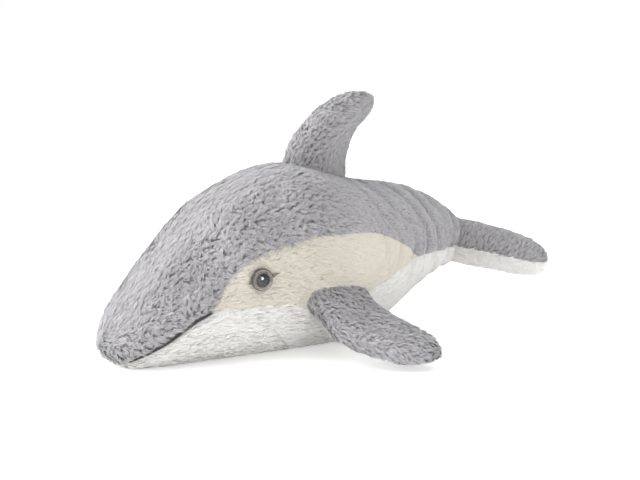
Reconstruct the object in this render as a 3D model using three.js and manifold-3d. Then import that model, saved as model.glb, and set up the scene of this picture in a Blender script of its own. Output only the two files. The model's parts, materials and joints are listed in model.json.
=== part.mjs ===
// Plush dolphin lying on its belly, 460 mm long.
// Millimetres, +Z up, nose towards -X, the toy's left side towards -Y.
// The origin is the middle of the base of its bounding box.
//
// The body is a loft: at each distance from the nose a cross-section is read at an angle that runs
// from 0 degrees on the back seam to 180 degrees under the belly, positive on the left side.
// Fins are blades: rows of chords laid along a span, measured from the hinge line of each fin.

import * as THREE from 'three';
import { mergeVertices } from 'three/addons/utils/BufferGeometryUtils.js';
import Module from 'manifold-3d';

const wasm = await Module();
wasm.setup();

// ---------------------------------------------------------------- driving dimensions

const LENGTH = 461; // nose to the trailing corners of the flukes
const SNOUT_TIP = 0.6; // distance from the nose where the panels start
const CENTRE = (LENGTH + SNOUT_TIP) / 2; // the origin's distance from the nose
const FABRIC = 4; // plush fabric with its pile pressed flat
const SEAM_GAP = 0.36; // space left between two panels that are sewn together
const STUFFING_GAP = 1.8; // stuffing kept off the back of the cloth
const NOSE_ROUNDING = 30; // distance over which the snout closes
const WIDEST = 0.52; // height of the widest line, as a share of the section
const SECTION_POWER = 0.96; // below 1 is fuller than an ellipse
const RIB_COUNT = 34; // lines of corners along the body
const RIB_CROWDING = 0.45; // below 1 sets them closer together at the nose
const FLAT_DEPTH = 3.5; // how far the belly is pressed flat by the toy's weight

// Body profile stations: [distance from the nose, value].
const BACK_HEIGHT = [
  [0, 42], [20, 58], [60, 102], [125, 161], [200, 185], [275, 170], [325, 159], [378, 132], [412, 112],
];
const BELLY_HEIGHT = [[0, 7], [25, 1], [60, 0], [250, 0], [300, 17], [345, 44], [378, 61], [412, 70]];
const HALF_WIDTH = [
  [0, 26], [20, 42], [60, 62], [125, 79], [200, 85], [275, 79], [345, 60], [378, 47], [412, 36],
];

// Heights of the pattern lines on the side of the body: [distance from the nose, height].
const MOUTH_LINE = [[12, 3], [16, 7], [22, 14], [32, 21], [47, 31], [59, 41], [71, 50], [84, 57]];
const PATCH_TOP = [
  [84, 57], [88, 63], [95, 78], [104, 91], [123, 104], [154, 114], [209, 123], [259, 120], [296, 107],
  [311, 98], [322, 89],
];
const PATCH_BOTTOM = [
  [84, 57], [101, 61], [122, 59], [153, 60], [181, 56], [225, 56], [270, 67], [306, 82], [322, 87],
];
const TAIL_LINE = [[322, 88], [345, 88], [378, 88], [412, 90]];
const PATCH_FRONT = 86; // the flank patches start here, behind the corner of the mouth
const PATCH_REAR = 321; // and end here in a point
const BELLY_FRONT = 13; // the white panel starts here, under the snout
const MOUTH_ROOM = 1.2; // half the width left for the mouth fold between the jaws
const MOUTH_FILL = 0.7; // share of that room that the fold takes up
const MOUTH_DEPTH = 1; // how far the fold lies below the surface

// Tail: the stem swings on an upright axis, the flukes nod on a level one.
const TAIL_JOINT = 345; // distance of the swing axis from the nose
const TAIL_RADIUS = 61; // rounded front of the stem
const FLUKE_JOINT = 405; // distance of the nod axis from the nose
const FLUKE_HEIGHT = 91; // height of the nod axis
const FLUKE_RADIUS = 22.5; // rounded front of the flukes
const FLUKE_CLEARANCE = 10; // the stem's rim stops this far ahead of the nod axis
const JOINT_GAP = 0.6;
const PANEL_OVERRUN = 12; // panels run past a rounded joint before they are cut to it
const TORSO_END = TAIL_JOINT + PANEL_OVERRUN;
const FLUKE_DROOP = 0.15; // fall of each lobe per unit of span
const FLUKE_ROOT = 30; // half width of the part that meets the stem

// Dorsal fin: leans on a line along the back.
const FIN_HINGE = new THREE.Vector3(242, 0, 192);
const FIN_SLOPE = 11.5; // degrees that its hinge falls towards the tail
const FIN_RADIUS = 12;
const FIN_SPAN = 70;
const FIN_FILLING = 54; // its stuffing ends here along the span

// Flippers: lift on a line along the side of the body.
const FLIPPER_HINGE = new THREE.Vector3(220, -91, 53);
const FLIPPER_FALL = 26; // degrees below level at rest
const FLIPPER_RADIUS = 11;
const FLIPPER_SPAN = 94;
const FLIPPER_FILLING = 74;

// Each lobe of the flukes.
const FLUKE_SPAN = 112;
const FLUKE_FILLING = 92;

// Blade outlines: [distance along the span, leading edge, trailing edge, half thickness].
const FIN_ROWS = [
  [0, -34, 38, 12], [15, -28, 39, 13], [32, -17, 44, 12.5], [46, -5, 54, 11.5], [57, 9, 60, 10],
  [65, 24, 59, 8], [FIN_SPAN, 37, 54, 4],
];
const FLIPPER_ROWS = [
  [0, -37, 37, 11], [28, -37, 46, 11.5], [50, -28, 59, 11.5], [70, -8, 68, 10], [84, 10, 65, 8.5],
  [90, 24, 59, 6.5], [FLIPPER_SPAN, 36, 52, 4],
];
const FLUKE_ROWS = [
  [0, -FLUKE_RADIUS, 34, FLUKE_RADIUS], [30, -22, 42, 21.5], [52, -6, 50, 18.5], [80, 14, 56, 15.5],
  [100, 30, 56, 12.5], [108, 38, 54, 9], [FLUKE_SPAN, 43, 51, 4.5],
];
const BLADE_EDGE = 0.9; // half thickness at the seams round a blade
const BLADE_TAPER = 2.4; // how late a blade thins towards its trailing edge
const BLADE_CORNERS = { columns: 10, rows: 6 };
const FILLING_MIDDLE = 0.44; // a blade's stuffing lies round this share of the chord
const FILLING_WIDTH = 0.6; // and takes up this share of it
const FILLING_EDGE = 0.3;

// Safety eyes.
const EYE_STATION = 133;
const EYE_ANGLE = 88;
const EYE_RADIUS = 11;
const PUPIL_RADIUS = 6.4;
const POST_RADIUS = 2.2;
const POST_LENGTH = 13;
const WASHER_RADIUS = 8;
const WASHER_HEIGHT = -(FABRIC + 3); // its underside, inside the cloth
const WASHER_THICKNESS = 1.6;
const EYE_CLEARANCE = 0.35; // the hole in the cloth is this much wider than the post
const WASHER_CLEARANCE = 0.15;
const POCKET_DEPTH = 15; // hollow in the stuffing behind each eye
const ROUND_SIDES = 20;
// Half profiles of the eye's parts, from the outline of the cloth outwards: [radius, height].
const IRIS_PROFILE = [
  [0, -POST_LENGTH], [POST_RADIUS, -POST_LENGTH], [POST_RADIUS, 0.4], [EYE_RADIUS, 0.4], [EYE_RADIUS, 2],
  [EYE_RADIUS - 0.6, 2.6], [0, 2.6],
];
const PUPIL_PROFILE = [[0, 2.9], [PUPIL_RADIUS, 2.9], [PUPIL_RADIUS - 0.4, 3.4], [0, 3.6]];
const DOME_PROFILE = [
  [0, 4.2], [5, 3.9], [PUPIL_RADIUS + 1, 3.2], [EYE_RADIUS - 1.6, 2.9], [EYE_RADIUS - 0.8, 2.9],
  [EYE_RADIUS - 1.6, 4.4], [EYE_RADIUS * 0.62, 5.8], [EYE_RADIUS * 0.34, 6.5], [0, 6.8],
];

const COLOURS = {
  grey: { color: 0xa9a7ab, roughness: 0.95, metalness: 0 },
  cream: { color: 0xd9d0bd, roughness: 0.95, metalness: 0 },
  white: { color: 0xebe9e4, roughness: 0.95, metalness: 0 },
  black: { color: 0x1c1a1b, roughness: 0.9, metalness: 0 },
  filling: { color: 0xf4f3f0, roughness: 1, metalness: 0 },
  iris: { color: 0x6b594a, roughness: 0.35, metalness: 0 },
  pupil: { color: 0x0a0908, roughness: 0.15, metalness: 0 },
  clear: { color: 0xf5f5f5, roughness: 0.05, metalness: 0 },
  washer: { color: 0xdcdcd8, roughness: 0.5, metalness: 0 },
};

// ---------------------------------------------------------------- curves

/** A smooth curve through [distance, value] stations that never swings past them. */
function curve(stations) {
  const rise = (i) => (stations[i + 1][1] - stations[i][1]) / (stations[i + 1][0] - stations[i][0]);
  const slope = (i) => {
    if (i === 0) return rise(0);
    if (i === stations.length - 1) return rise(i - 1);
    const [before, after] = [rise(i - 1), rise(i)];
    return before * after > 0 ? (2 * before * after) / (before + after) : 0;
  };
  return (at) => {
    const x = THREE.MathUtils.clamp(at, stations[0][0], stations.at(-1)[0]);
    const i = Math.max(0, stations.findIndex((s) => s[0] >= x) - 1);
    const [x0, y0] = stations[i];
    const [x1, y1] = stations[i + 1];
    const w = x1 - x0;
    const t = (x - x0) / w;
    const step = y1 - y0;
    const bend0 = slope(i) * w - step;
    const bend1 = step - slope(i + 1) * w;
    return y0 + step * t + t * (1 - t) * (bend0 * (1 - t) + bend1 * t);
  };
}

const backHeight = curve(BACK_HEIGHT);
const bellyHeight = curve(BELLY_HEIGHT);
const halfWidth = curve(HALF_WIDTH);
const mouthLine = curve(MOUTH_LINE);
const patchTop = curve(PATCH_TOP);
const patchBottom = curve(PATCH_BOTTOM);
const tailLine = curve(TAIL_LINE);

/** How far the snout has opened at a distance from the nose, 0 to 1. */
function opening(x) {
  const left = Math.max(0, 1 - x / NOSE_ROUNDING);
  return Math.sqrt(Math.max(0, 1 - left * left));
}

/** The cross-section at a distance from the nose: its centre height and its three radii. */
function section(x) {
  const top = backHeight(x);
  const bottom = bellyHeight(x) - FLAT_DEPTH;
  const centre = bottom + (top - bottom) * WIDEST;
  const open = opening(x);
  return { centre, up: (top - centre) * open, down: (centre - bottom) * open, side: halfWidth(x) * open };
}

/** A point of the body: distance from the nose, angle from the back seam, depth below the surface. */
function bodyPoint(x, angle, depth = 0) {
  const cut = section(x);
  const a = THREE.MathUtils.degToRad(angle);
  const power = (v) => Math.sign(v) * Math.abs(v) ** SECTION_POWER;
  const shrink = (radius) => Math.max(radius - depth, radius * 0.25);
  const across = power(Math.sin(a)) * shrink(cut.side);
  const upright = power(Math.cos(a)) * shrink(Math.cos(a) > 0 ? cut.up : cut.down);
  const setBack = depth * Math.max(0, 1 - x / NOSE_ROUNDING);
  const height = Math.max(cut.centre + upright, depth);
  return new THREE.Vector3(x + setBack - CENTRE, -across, height);
}

/** The angle at which the surface has a given height. */
function angleAt(x, height) {
  const cut = section(x);
  const rise = height - cut.centre;
  const share = rise / (rise > 0 ? cut.up : cut.down);
  const cosine = Math.sign(share) * Math.min(1, Math.abs(share)) ** (1 / SECTION_POWER);
  return THREE.MathUtils.radToDeg(Math.acos(cosine));
}

/** The angle that a length along the surface takes up at a distance from the nose. */
function angleOf(length, x) {
  const cut = section(x);
  return THREE.MathUtils.radToDeg(length / Math.min(cut.side, cut.up, cut.down));
}

/** Lower edge of the grey panel. */
function greyEdge(x) {
  if (x < BELLY_FRONT) return 180;
  if (x < PATCH_FRONT) return angleAt(x, mouthLine(x));
  return angleAt(x, x < PATCH_REAR ? patchTop(x) : tailLine(x));
}

/** Upper edge of the white panel. */
function whiteEdge(x) {
  if (x < PATCH_FRONT) return angleAt(x, mouthLine(x));
  return angleAt(x, x < PATCH_REAR ? patchBottom(x) : tailLine(x));
}

/** Distances from the nose at which every panel has its columns, so that sewn edges match. */
const RIBS = Array.from({ length: RIB_COUNT + 1 }, (_, i) => {
  const share = i / RIB_COUNT;
  return SNOUT_TIP + (FLUKE_JOINT - SNOUT_TIP) * share * (RIB_CROWDING + (1 - RIB_CROWDING) * share);
});

// ---------------------------------------------------------------- geometry

/** Moves every vertex of a closed geometry through a function and keeps its faces pointing out. */
function bend(geometry, place) {
  geometry.deleteAttribute('normal');
  geometry.deleteAttribute('uv');
  const position = geometry.getAttribute('position');
  const vertex = new THREE.Vector3();
  for (let i = 0; i < position.count; i += 1) {
    vertex.fromBufferAttribute(position, i);
    const moved = place(vertex);
    position.setXYZ(i, moved.x, moved.y, moved.z);
  }
  return outward(mergeVertices(geometry, 1e-4));
}

/** Turns the faces round when the solid's signed volume is negative. */
function outward(geometry) {
  const position = geometry.getAttribute('position');
  const index = geometry.getIndex().array;
  const [a, b, c] = [new THREE.Vector3(), new THREE.Vector3(), new THREE.Vector3()];
  let volume = 0;
  for (let i = 0; i < index.length; i += 3) {
    a.fromBufferAttribute(position, index[i]);
    b.fromBufferAttribute(position, index[i + 1]);
    c.fromBufferAttribute(position, index[i + 2]);
    volume += a.dot(b.cross(c));
  }
  if (volume < 0) {
    for (let i = 0; i < index.length; i += 3) {
      [index[i + 1], index[i + 2]] = [index[i + 2], index[i + 1]];
    }
  }
  return geometry;
}

/** A closed geometry as a solid that can be joined and cut. */
function solid(geometry) {
  const bare = geometry.clone();
  bare.deleteAttribute('normal');
  bare.deleteAttribute('uv');
  const merged = mergeVertices(bare, 1e-4);
  return new wasm.Manifold(new wasm.Mesh({
    numProp: 3,
    vertProperties: new Float32Array(merged.getAttribute('position').array),
    triVerts: new Uint32Array(merged.getIndex().array),
  }));
}

/** The largest body of a cut solid as a geometry. */
function geometryOf(cut) {
  const bodies = cut.decompose().sort((a, b) => b.volume() - a.volume());
  const mesh = bodies[0].getMesh();
  const geometry = new THREE.BufferGeometry();
  geometry.setAttribute('position', new THREE.BufferAttribute(mesh.vertProperties, 3));
  geometry.setIndex(new THREE.BufferAttribute(mesh.triVerts, 1));
  return geometry;
}

/** A box between two corners. */
function block(low, high) {
  const size = new THREE.Vector3().subVectors(high, low);
  const box = new THREE.BoxGeometry(size.x, size.y, size.z);
  return box.translate((low.x + high.x) / 2, (low.y + high.y) / 2, (low.z + high.z) / 2);
}

/** A body panel between two edges, as thick as the fabric, with its columns on the shared ribs. */
function panel({ from, to, upper, lower, rows, side = 1, outer = 0, inner = FABRIC, gap = SEAM_GAP }) {
  const ribs = RIBS.filter((x) => x >= from && x <= to);
  const columns = ribs.length - 1;
  const box = new THREE.BoxGeometry(1, 1, 1, columns, rows, 1);
  return bend(box, (p) => {
    const x = ribs[Math.round((p.x + 0.5) * columns)];
    const spare = angleOf(gap / 2, x);
    const angle = THREE.MathUtils.lerp(upper(x) + spare, lower(x) - spare, p.y + 0.5);
    return bodyPoint(x, side * angle, p.z > 0 ? outer : inner);
  });
}

/** A solid that fills the body between two distances from the nose, below a given depth. */
function core(from, to, depth, around) {
  const ribs = RIBS.filter((x) => x >= from && x <= to);
  const along = ribs.length - 1;
  const cylinder = new THREE.CylinderGeometry(1, 1, 1, around, along);
  return bend(cylinder, (p) => {
    const x = ribs[Math.round((p.y + 0.5) * along)];
    const rim = bodyPoint(x, THREE.MathUtils.radToDeg(Math.atan2(p.x, p.z)), depth);
    const middle = bodyPoint(x, 0, depth).setZ(section(x).centre);
    return middle.lerp(rim, Math.min(1, Math.hypot(p.x, p.z)));
  });
}

/** Blade rows as curves, with the root end rounded round the hinge when asked. */
function bladeShape(rows, rootRadius = 0) {
  const column = (i) => curve(rows.map((row) => [row[0], row[i]]));
  const [front, rear, thick] = [column(1), column(2), column(3)];
  return (span, share) => {
    const lead = front(span);
    const chord = rear(span) - lead;
    const root = span < 0 ? Math.sqrt(Math.max(0, 1 - (span / rootRadius) ** 2)) : 1;
    const nose = Math.min(0.45, thick(span) / chord);
    const swell = share < nose
      ? 1 - (1 - share / nose) ** 2
      : 1 - ((share - nose) / (1 - nose)) ** BLADE_TAPER;
    const half = thick(span) * root * Math.sqrt(Math.max(0, swell));
    return { chordwise: lead + chord * share, half: Math.max(half, BLADE_EDGE) };
  };
}

/** Rows closer together at both ends of a span. */
const eased = (t) => 0.5 * t + 0.25 * (1 - Math.cos(Math.PI * t));

/** One skin of a blade, from just off its middle plane to its surface. */
function bladeSkin(shape, from, to, face) {
  const box = new THREE.BoxGeometry(1, 1, 1, BLADE_CORNERS.columns, BLADE_CORNERS.rows, 1);
  return bend(box, (p) => {
    const span = THREE.MathUtils.lerp(from, to, eased(p.x + 0.5));
    const { chordwise, half } = shape(span, eased(p.y + 0.5));
    const level = p.z > 0 ? half : Math.max(half - FABRIC, SEAM_GAP / 2);
    return new THREE.Vector3(chordwise, span, face * level);
  });
}

/** The stuffing of a blade, clear of its two skins. */
function bladeFilling(shape, from, to, columns) {
  const box = new THREE.BoxGeometry(1, 1, 1, columns, BLADE_CORNERS.rows / 2, 1);
  return bend(box, (p) => {
    const span = THREE.MathUtils.lerp(from, to, p.x + 0.5);
    const { chordwise, half } = shape(Math.abs(span), FILLING_MIDDLE + p.y * FILLING_WIDTH);
    const level = Math.max(half - FABRIC - STUFFING_GAP, FILLING_EDGE);
    return new THREE.Vector3(chordwise, span, Math.sign(p.z) * level);
  });
}

// ---------------------------------------------------------------- the toy

const toy = new THREE.Group();

/** Adds one named piece with its own material. */
function add(name, geometry, look, parent = toy) {
  geometry.computeVertexNormals();
  const mesh = new THREE.Mesh(geometry, new THREE.MeshStandardMaterial(COLOURS[look]));
  mesh.name = name;
  parent.add(mesh);
  return mesh;
}

const SIDES = [['left', 1], ['right', -1]];

/** An upright cylinder on the tail's swing axis, and everything behind that axis. */
function tailSpace(radius) {
  const tall = new THREE.CylinderGeometry(radius, radius, LENGTH, 40);
  tall.rotateX(Math.PI / 2).translate(TAIL_JOINT - CENTRE, 0, 0);
  const low = new THREE.Vector3(TAIL_JOINT - CENTRE - (radius - TAIL_RADIUS), -LENGTH, -LENGTH);
  const behind = block(low, new THREE.Vector3(LENGTH, LENGTH, LENGTH));
  return solid(tall).add(solid(behind));
}

/** A level cylinder on the flukes' nod axis, and everything behind that axis. */
function flukeSpace(radius) {
  const wide = new THREE.CylinderGeometry(radius, radius, LENGTH, 32);
  wide.translate(FLUKE_JOINT - CENTRE, 0, FLUKE_HEIGHT);
  const low = new THREE.Vector3(FLUKE_JOINT - FLUKE_CLEARANCE - CENTRE, -LENGTH, -LENGTH);
  const behind = block(low, new THREE.Vector3(LENGTH, LENGTH, LENGTH));
  return solid(wide).add(solid(behind));
}

/** Where an eye sits and which way it looks. */
function eyeFrame(side) {
  const at = bodyPoint(EYE_STATION, side * EYE_ANGLE);
  const along = bodyPoint(EYE_STATION + 2, side * EYE_ANGLE).sub(at);
  const round = bodyPoint(EYE_STATION, side * (EYE_ANGLE + 2)).sub(at);
  const out = new THREE.Vector3().crossVectors(along, round).normalize();
  if (out.y * side > 0) out.negate();
  return new THREE.Matrix4().compose(
    at,
    new THREE.Quaternion().setFromUnitVectors(new THREE.Vector3(0, 1, 0), out),
    new THREE.Vector3(1, 1, 1),
  );
}

/** A turned shape about the eye's axis from [radius, height] points. */
function turned(points) {
  return new THREE.LatheGeometry(points.map(([r, h]) => new THREE.Vector2(r, h)), ROUND_SIDES);
}

/** The body cloth: grey back, cream flanks and white belly, with the mouth fold between the jaws. */
function addBodySkins() {
  const stem = tailSpace(TAIL_RADIUS + JOINT_GAP);
  for (const [name, side] of SIDES) {
    const hole = POST_RADIUS + EYE_CLEARANCE;
    const eye = new THREE.CylinderGeometry(hole, hole, 2 * ROUND_SIDES, ROUND_SIDES / 2);
    const post = solid(eye.applyMatrix4(eyeFrame(side)));
    const lower = (x) => greyEdge(x) - mouthRoom(x);
    const back = panel({ from: SNOUT_TIP, to: TORSO_END, upper: () => 0, lower, rows: 6, side });
    add(`back_skin_${name}`, geometryOf(solid(back).subtract(stem)), 'grey');
    const reach = { from: PATCH_FRONT, to: PATCH_REAR };
    const flank = panel({ ...reach, upper: greyEdge, lower: whiteEdge, rows: 3, side });
    add(`flank_patch_${name}`, geometryOf(solid(flank).subtract(post)), 'cream');
    add(`mouth_fold_${name}`, mouthFold(side), 'black');
  }
  const upper = (x) => whiteEdge(x) + mouthRoom(x);
  const belly = panel({ from: BELLY_FRONT, to: TORSO_END, upper, lower: (x) => 360 - upper(x), rows: 12 });
  add('belly_skin', geometryOf(solid(belly).subtract(stem)), 'white');
}

/** Half the angle that the mouth fold takes up between the jaws. */
function mouthRoom(x) {
  return x < MOUTH_LINE.at(-1)[0] && x > BELLY_FRONT ? angleOf(MOUTH_ROOM, x) : 0;
}

/** The dark fold of cloth that shows as the mouth line on one side. */
function mouthFold(side) {
  const edge = (x) => angleAt(x, mouthLine(x));
  const upper = (x) => edge(x) - mouthRoom(x) * MOUTH_FILL;
  const lower = (x) => edge(x) + mouthRoom(x) * MOUTH_FILL;
  const reach = { from: BELLY_FRONT, to: PATCH_FRONT };
  return panel({ ...reach, upper, lower, rows: 1, side, outer: MOUTH_DEPTH, gap: 0 });
}

/** The tail stem: two grey sides and a white underside, rounded to turn inside the body. */
function addTailStem() {
  const stem = tailSpace(TAIL_RADIUS).subtract(flukeSpace(FLUKE_RADIUS + JOINT_GAP));
  const reach = { from: TAIL_JOINT - TAIL_RADIUS - PANEL_OVERRUN, to: FLUKE_JOINT + 1 };
  for (const [name, side] of SIDES) {
    const skin = panel({ ...reach, upper: () => 0, lower: greyEdge, rows: 5, side });
    add(`tail_skin_${name}`, geometryOf(solid(skin).intersect(stem)), 'grey');
  }
  const under = panel({ ...reach, upper: whiteEdge, lower: (x) => 360 - whiteEdge(x), rows: 8 });
  add('tail_underside', geometryOf(solid(under).intersect(stem)), 'white');
  const inside = core(reach.from, reach.to, FABRIC + STUFFING_GAP, 24);
  add('tail_stuffing', geometryOf(solid(inside).intersect(stem)), 'filling');
}

/** The body stuffing, with a pocket behind each eye for its post and washer. */
function addBodyStuffing() {
  const whole = solid(core(NOSE_ROUNDING, TORSO_END, FABRIC + STUFFING_GAP, 24));
  let inside = whole.subtract(tailSpace(TAIL_RADIUS + JOINT_GAP));
  for (const [, side] of SIDES) {
    const radius = WASHER_RADIUS + 1;
    const pocket = new THREE.CylinderGeometry(radius, radius, 2 * POCKET_DEPTH, ROUND_SIDES);
    inside = inside.subtract(solid(pocket.applyMatrix4(eyeFrame(side))));
  }
  add('body_stuffing', geometryOf(inside), 'filling');
}

/** One safety eye: iris disc with its post, pupil, clear dome and lock washer. */
function addEye(name, side) {
  const frame = eyeFrame(side);
  const place = (points) => outward(bend(turned(points), (p) => p.clone().applyMatrix4(frame)));
  add(`eye_iris_${name}`, place(IRIS_PROFILE), 'iris');
  add(`eye_pupil_${name}`, place(PUPIL_PROFILE), 'pupil');
  add(`eye_dome_${name}`, place(DOME_PROFILE), 'clear');
  const hole = POST_RADIUS + WASHER_CLEARANCE;
  const [low, high] = [WASHER_HEIGHT, WASHER_HEIGHT + WASHER_THICKNESS];
  const washer = [[hole, low], [WASHER_RADIUS, low], [WASHER_RADIUS, high], [hole, high], [hole, low]];
  add(`eye_washer_${name}`, place(washer), 'washer');
}

/** The dorsal fin: two skins and its stuffing, leaning on a hinge line along the back. */
function addDorsalFin() {
  const fin = new THREE.Group();
  fin.position.set(FIN_HINGE.x - CENTRE, FIN_HINGE.y, FIN_HINGE.z);
  fin.rotation.x = Math.PI / 2;
  fin.rotateZ(-THREE.MathUtils.degToRad(FIN_SLOPE));
  toy.add(fin);
  const shape = bladeShape(FIN_ROWS, FIN_RADIUS);
  const reach = [1 - FIN_RADIUS, FIN_SPAN];
  add('dorsal_fin_skin_left', bladeSkin(shape, ...reach, 1), 'grey', fin);
  add('dorsal_fin_skin_right', bladeSkin(shape, ...reach, -1), 'grey', fin);
  add('dorsal_fin_stuffing', bladeFilling(shape, 1, FIN_FILLING, 5), 'filling', fin);
}

/** One flipper: top skin, underside skin and stuffing, resting with its tip near the floor. */
function addFlipper(name, side) {
  const flipper = new THREE.Group();
  flipper.position.set(FLIPPER_HINGE.x - CENTRE, side * FLIPPER_HINGE.y, FLIPPER_HINGE.z);
  const fall = THREE.MathUtils.degToRad(FLIPPER_FALL);
  flipper.rotateX(side > 0 ? Math.PI + fall : -fall);
  toy.add(flipper);
  const shape = bladeShape(FLIPPER_ROWS, FLIPPER_RADIUS);
  const reach = [1 - FLIPPER_RADIUS, FLIPPER_SPAN];
  add(`flipper_top_${name}`, bladeSkin(shape, ...reach, -side), 'grey', flipper);
  add(`flipper_underside_${name}`, bladeSkin(shape, ...reach, side), 'grey', flipper);
  add(`flipper_stuffing_${name}`, bladeFilling(shape, 1, FLIPPER_FILLING, 5), 'filling', flipper);
}

/** The flukes: two lobes, each with a grey top and a white underside, over one piece of stuffing. */
function addFlukes() {
  const shape = bladeShape(FLUKE_ROWS);
  const droop = (span) => -FLUKE_DROOP * Math.max(0, Math.abs(span) - FLUKE_ROOT);
  const level = (side) => (p) => new THREE.Vector3(
    FLUKE_JOINT + p.x - CENTRE,
    -side * p.y,
    FLUKE_HEIGHT + p.z + droop(p.y),
  );
  const lobe = (face) => bladeSkin(shape, SEAM_GAP / 2, FLUKE_SPAN, face);
  for (const [name, side] of SIDES) {
    add(`fluke_top_${name}`, bend(lobe(1), level(side)), 'grey');
    add(`fluke_underside_${name}`, bend(lobe(-1), level(side)), 'white');
  }
  const filling = bladeFilling(shape, -FLUKE_FILLING, FLUKE_FILLING, 10);
  add('fluke_stuffing', bend(filling, level(1)), 'filling');
}

addBodySkins();
addBodyStuffing();
for (const [name, side] of SIDES) {
  addEye(name, side);
  addFlipper(name, side);
}
addDorsalFin();
addTailStem();
addFlukes();

export default toy;
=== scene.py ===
"""A plush dolphin lying on its belly: pile cloth panels over stuffing, safety eyes, studio.

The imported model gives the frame, the bodies and the joints. Lengths in the classes are in
millimetres, measured from the tip of the nose along the body, and become metres in the meshes.
"""

from __future__ import annotations

import json
import logging
import math
from dataclasses import dataclass, replace
from enum import Enum
from typing import Callable

import bmesh
import bpy
import numpy as np
from mathutils import Matrix, Vector

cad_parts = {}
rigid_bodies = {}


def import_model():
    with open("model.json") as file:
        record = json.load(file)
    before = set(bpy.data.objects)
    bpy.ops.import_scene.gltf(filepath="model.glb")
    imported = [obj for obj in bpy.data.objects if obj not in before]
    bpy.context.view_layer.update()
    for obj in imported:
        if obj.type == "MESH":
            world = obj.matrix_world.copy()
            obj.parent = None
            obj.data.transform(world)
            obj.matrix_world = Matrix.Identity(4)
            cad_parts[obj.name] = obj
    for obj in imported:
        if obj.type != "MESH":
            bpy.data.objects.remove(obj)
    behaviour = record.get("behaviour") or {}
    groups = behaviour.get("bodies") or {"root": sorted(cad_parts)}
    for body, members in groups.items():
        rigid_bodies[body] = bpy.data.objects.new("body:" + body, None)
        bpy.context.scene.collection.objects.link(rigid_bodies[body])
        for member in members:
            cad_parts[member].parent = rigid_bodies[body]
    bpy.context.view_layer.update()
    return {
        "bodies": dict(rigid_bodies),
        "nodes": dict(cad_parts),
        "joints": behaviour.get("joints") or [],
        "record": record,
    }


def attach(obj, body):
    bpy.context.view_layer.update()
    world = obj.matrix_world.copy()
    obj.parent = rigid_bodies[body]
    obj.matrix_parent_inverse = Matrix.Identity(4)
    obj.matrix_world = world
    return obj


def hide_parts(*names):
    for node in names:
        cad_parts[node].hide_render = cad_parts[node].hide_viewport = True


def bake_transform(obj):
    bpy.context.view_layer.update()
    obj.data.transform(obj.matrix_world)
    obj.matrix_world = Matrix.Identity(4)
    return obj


Colour = tuple[float, float, float, float]

LOG = logging.getLogger("plush_dolphin")
MM = 0.001
NOSE_TO_ORIGIN = 230.8
LEFT, RIGHT = 1, -1
SIDES = {"left": LEFT, "right": RIGHT}
STRAND_POINTS = 5
FLOOR_GAP = 0.6  # how far above the floor the lowest pile is pressed flat
EYE_AT = (133.0, 88.0)  # distance from the nose, and degrees round from the back seam


# ------------------------------------------------------------------------------ shader helper


class Wire:
    """A shader socket that can be used in Python expressions."""

    def __init__(self, tree: bpy.types.NodeTree, socket: bpy.types.NodeSocket) -> None:
        """Keeps the socket and the tree that it belongs to.

        Args:
            tree: The node tree.
            socket: An output socket in it.
        """
        self.tree = tree
        self.socket = socket

    def _math(self, operation: str, *values: Wire | float) -> Wire:
        """Adds one Math node.

        Args:
            operation: The Math node's operation.
            *values: Its inputs, wires or numbers.

        Returns:
            The node's result.
        """
        return node(self.tree, "ShaderNodeMath", {"operation": operation}, dict(enumerate(values)))

    def __add__(self, other: Wire | float) -> Wire:
        """Sum."""
        return self._math("ADD", self, other)

    __radd__ = __add__

    def __mul__(self, other: Wire | float) -> Wire:
        """Product."""
        return self._math("MULTIPLY", self, other)

    def __sub__(self, other: Wire | float) -> Wire:
        """Difference."""
        return self._math("SUBTRACT", self, other)


def node(tree: bpy.types.NodeTree, kind: str, settings: dict | None = None, inputs: dict | None = None,
         output: int | str = 0) -> Wire:
    """Adds any shader node.

    Args:
        tree: The node tree.
        kind: The node's type.
        settings: Attributes that are set first; "stops" fills a colour ramp.
        inputs: Values or wires by socket name or number.
        output: The output to return.

    Returns:
        A wire on the output asked for.
    """
    made = tree.nodes.new(kind)
    for name, value in (settings or {}).items():
        if name == "stops":
            ramp = made.color_ramp
            while len(ramp.elements) < len(value):
                ramp.elements.new(0.5)
            for element, (at, colour) in zip(ramp.elements, value):
                element.position = at
                element.color = colour
        else:
            setattr(made, name, value)
    feed(made, inputs or {})
    return Wire(tree, made.outputs[output])


def feed(made: bpy.types.Node, inputs: dict) -> None:
    """Sets or wires the inputs of a node, by socket name or number."""
    for name, value in inputs.items():
        if isinstance(value, Wire):
            value.tree.links.new(value.socket, made.inputs[name])
        else:
            made.inputs[name].default_value = value


def mix_colour(tree: bpy.types.NodeTree, factor: Wire | float, first: Wire | tuple, second: Wire | tuple,
               how: str = "MIX") -> Wire:
    """Mixes two colours.

    Args:
        tree: The node tree.
        factor: Share of the second colour.
        first: First colour.
        second: Second colour.
        how: Blend type.

    Returns:
        The mixed colour.
    """
    return node(tree, "ShaderNodeMix", {"data_type": "RGBA", "blend_type": how},
                {0: factor, 6: first, 7: second}, 2)


# ------------------------------------------------------------------------------ finishes


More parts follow.
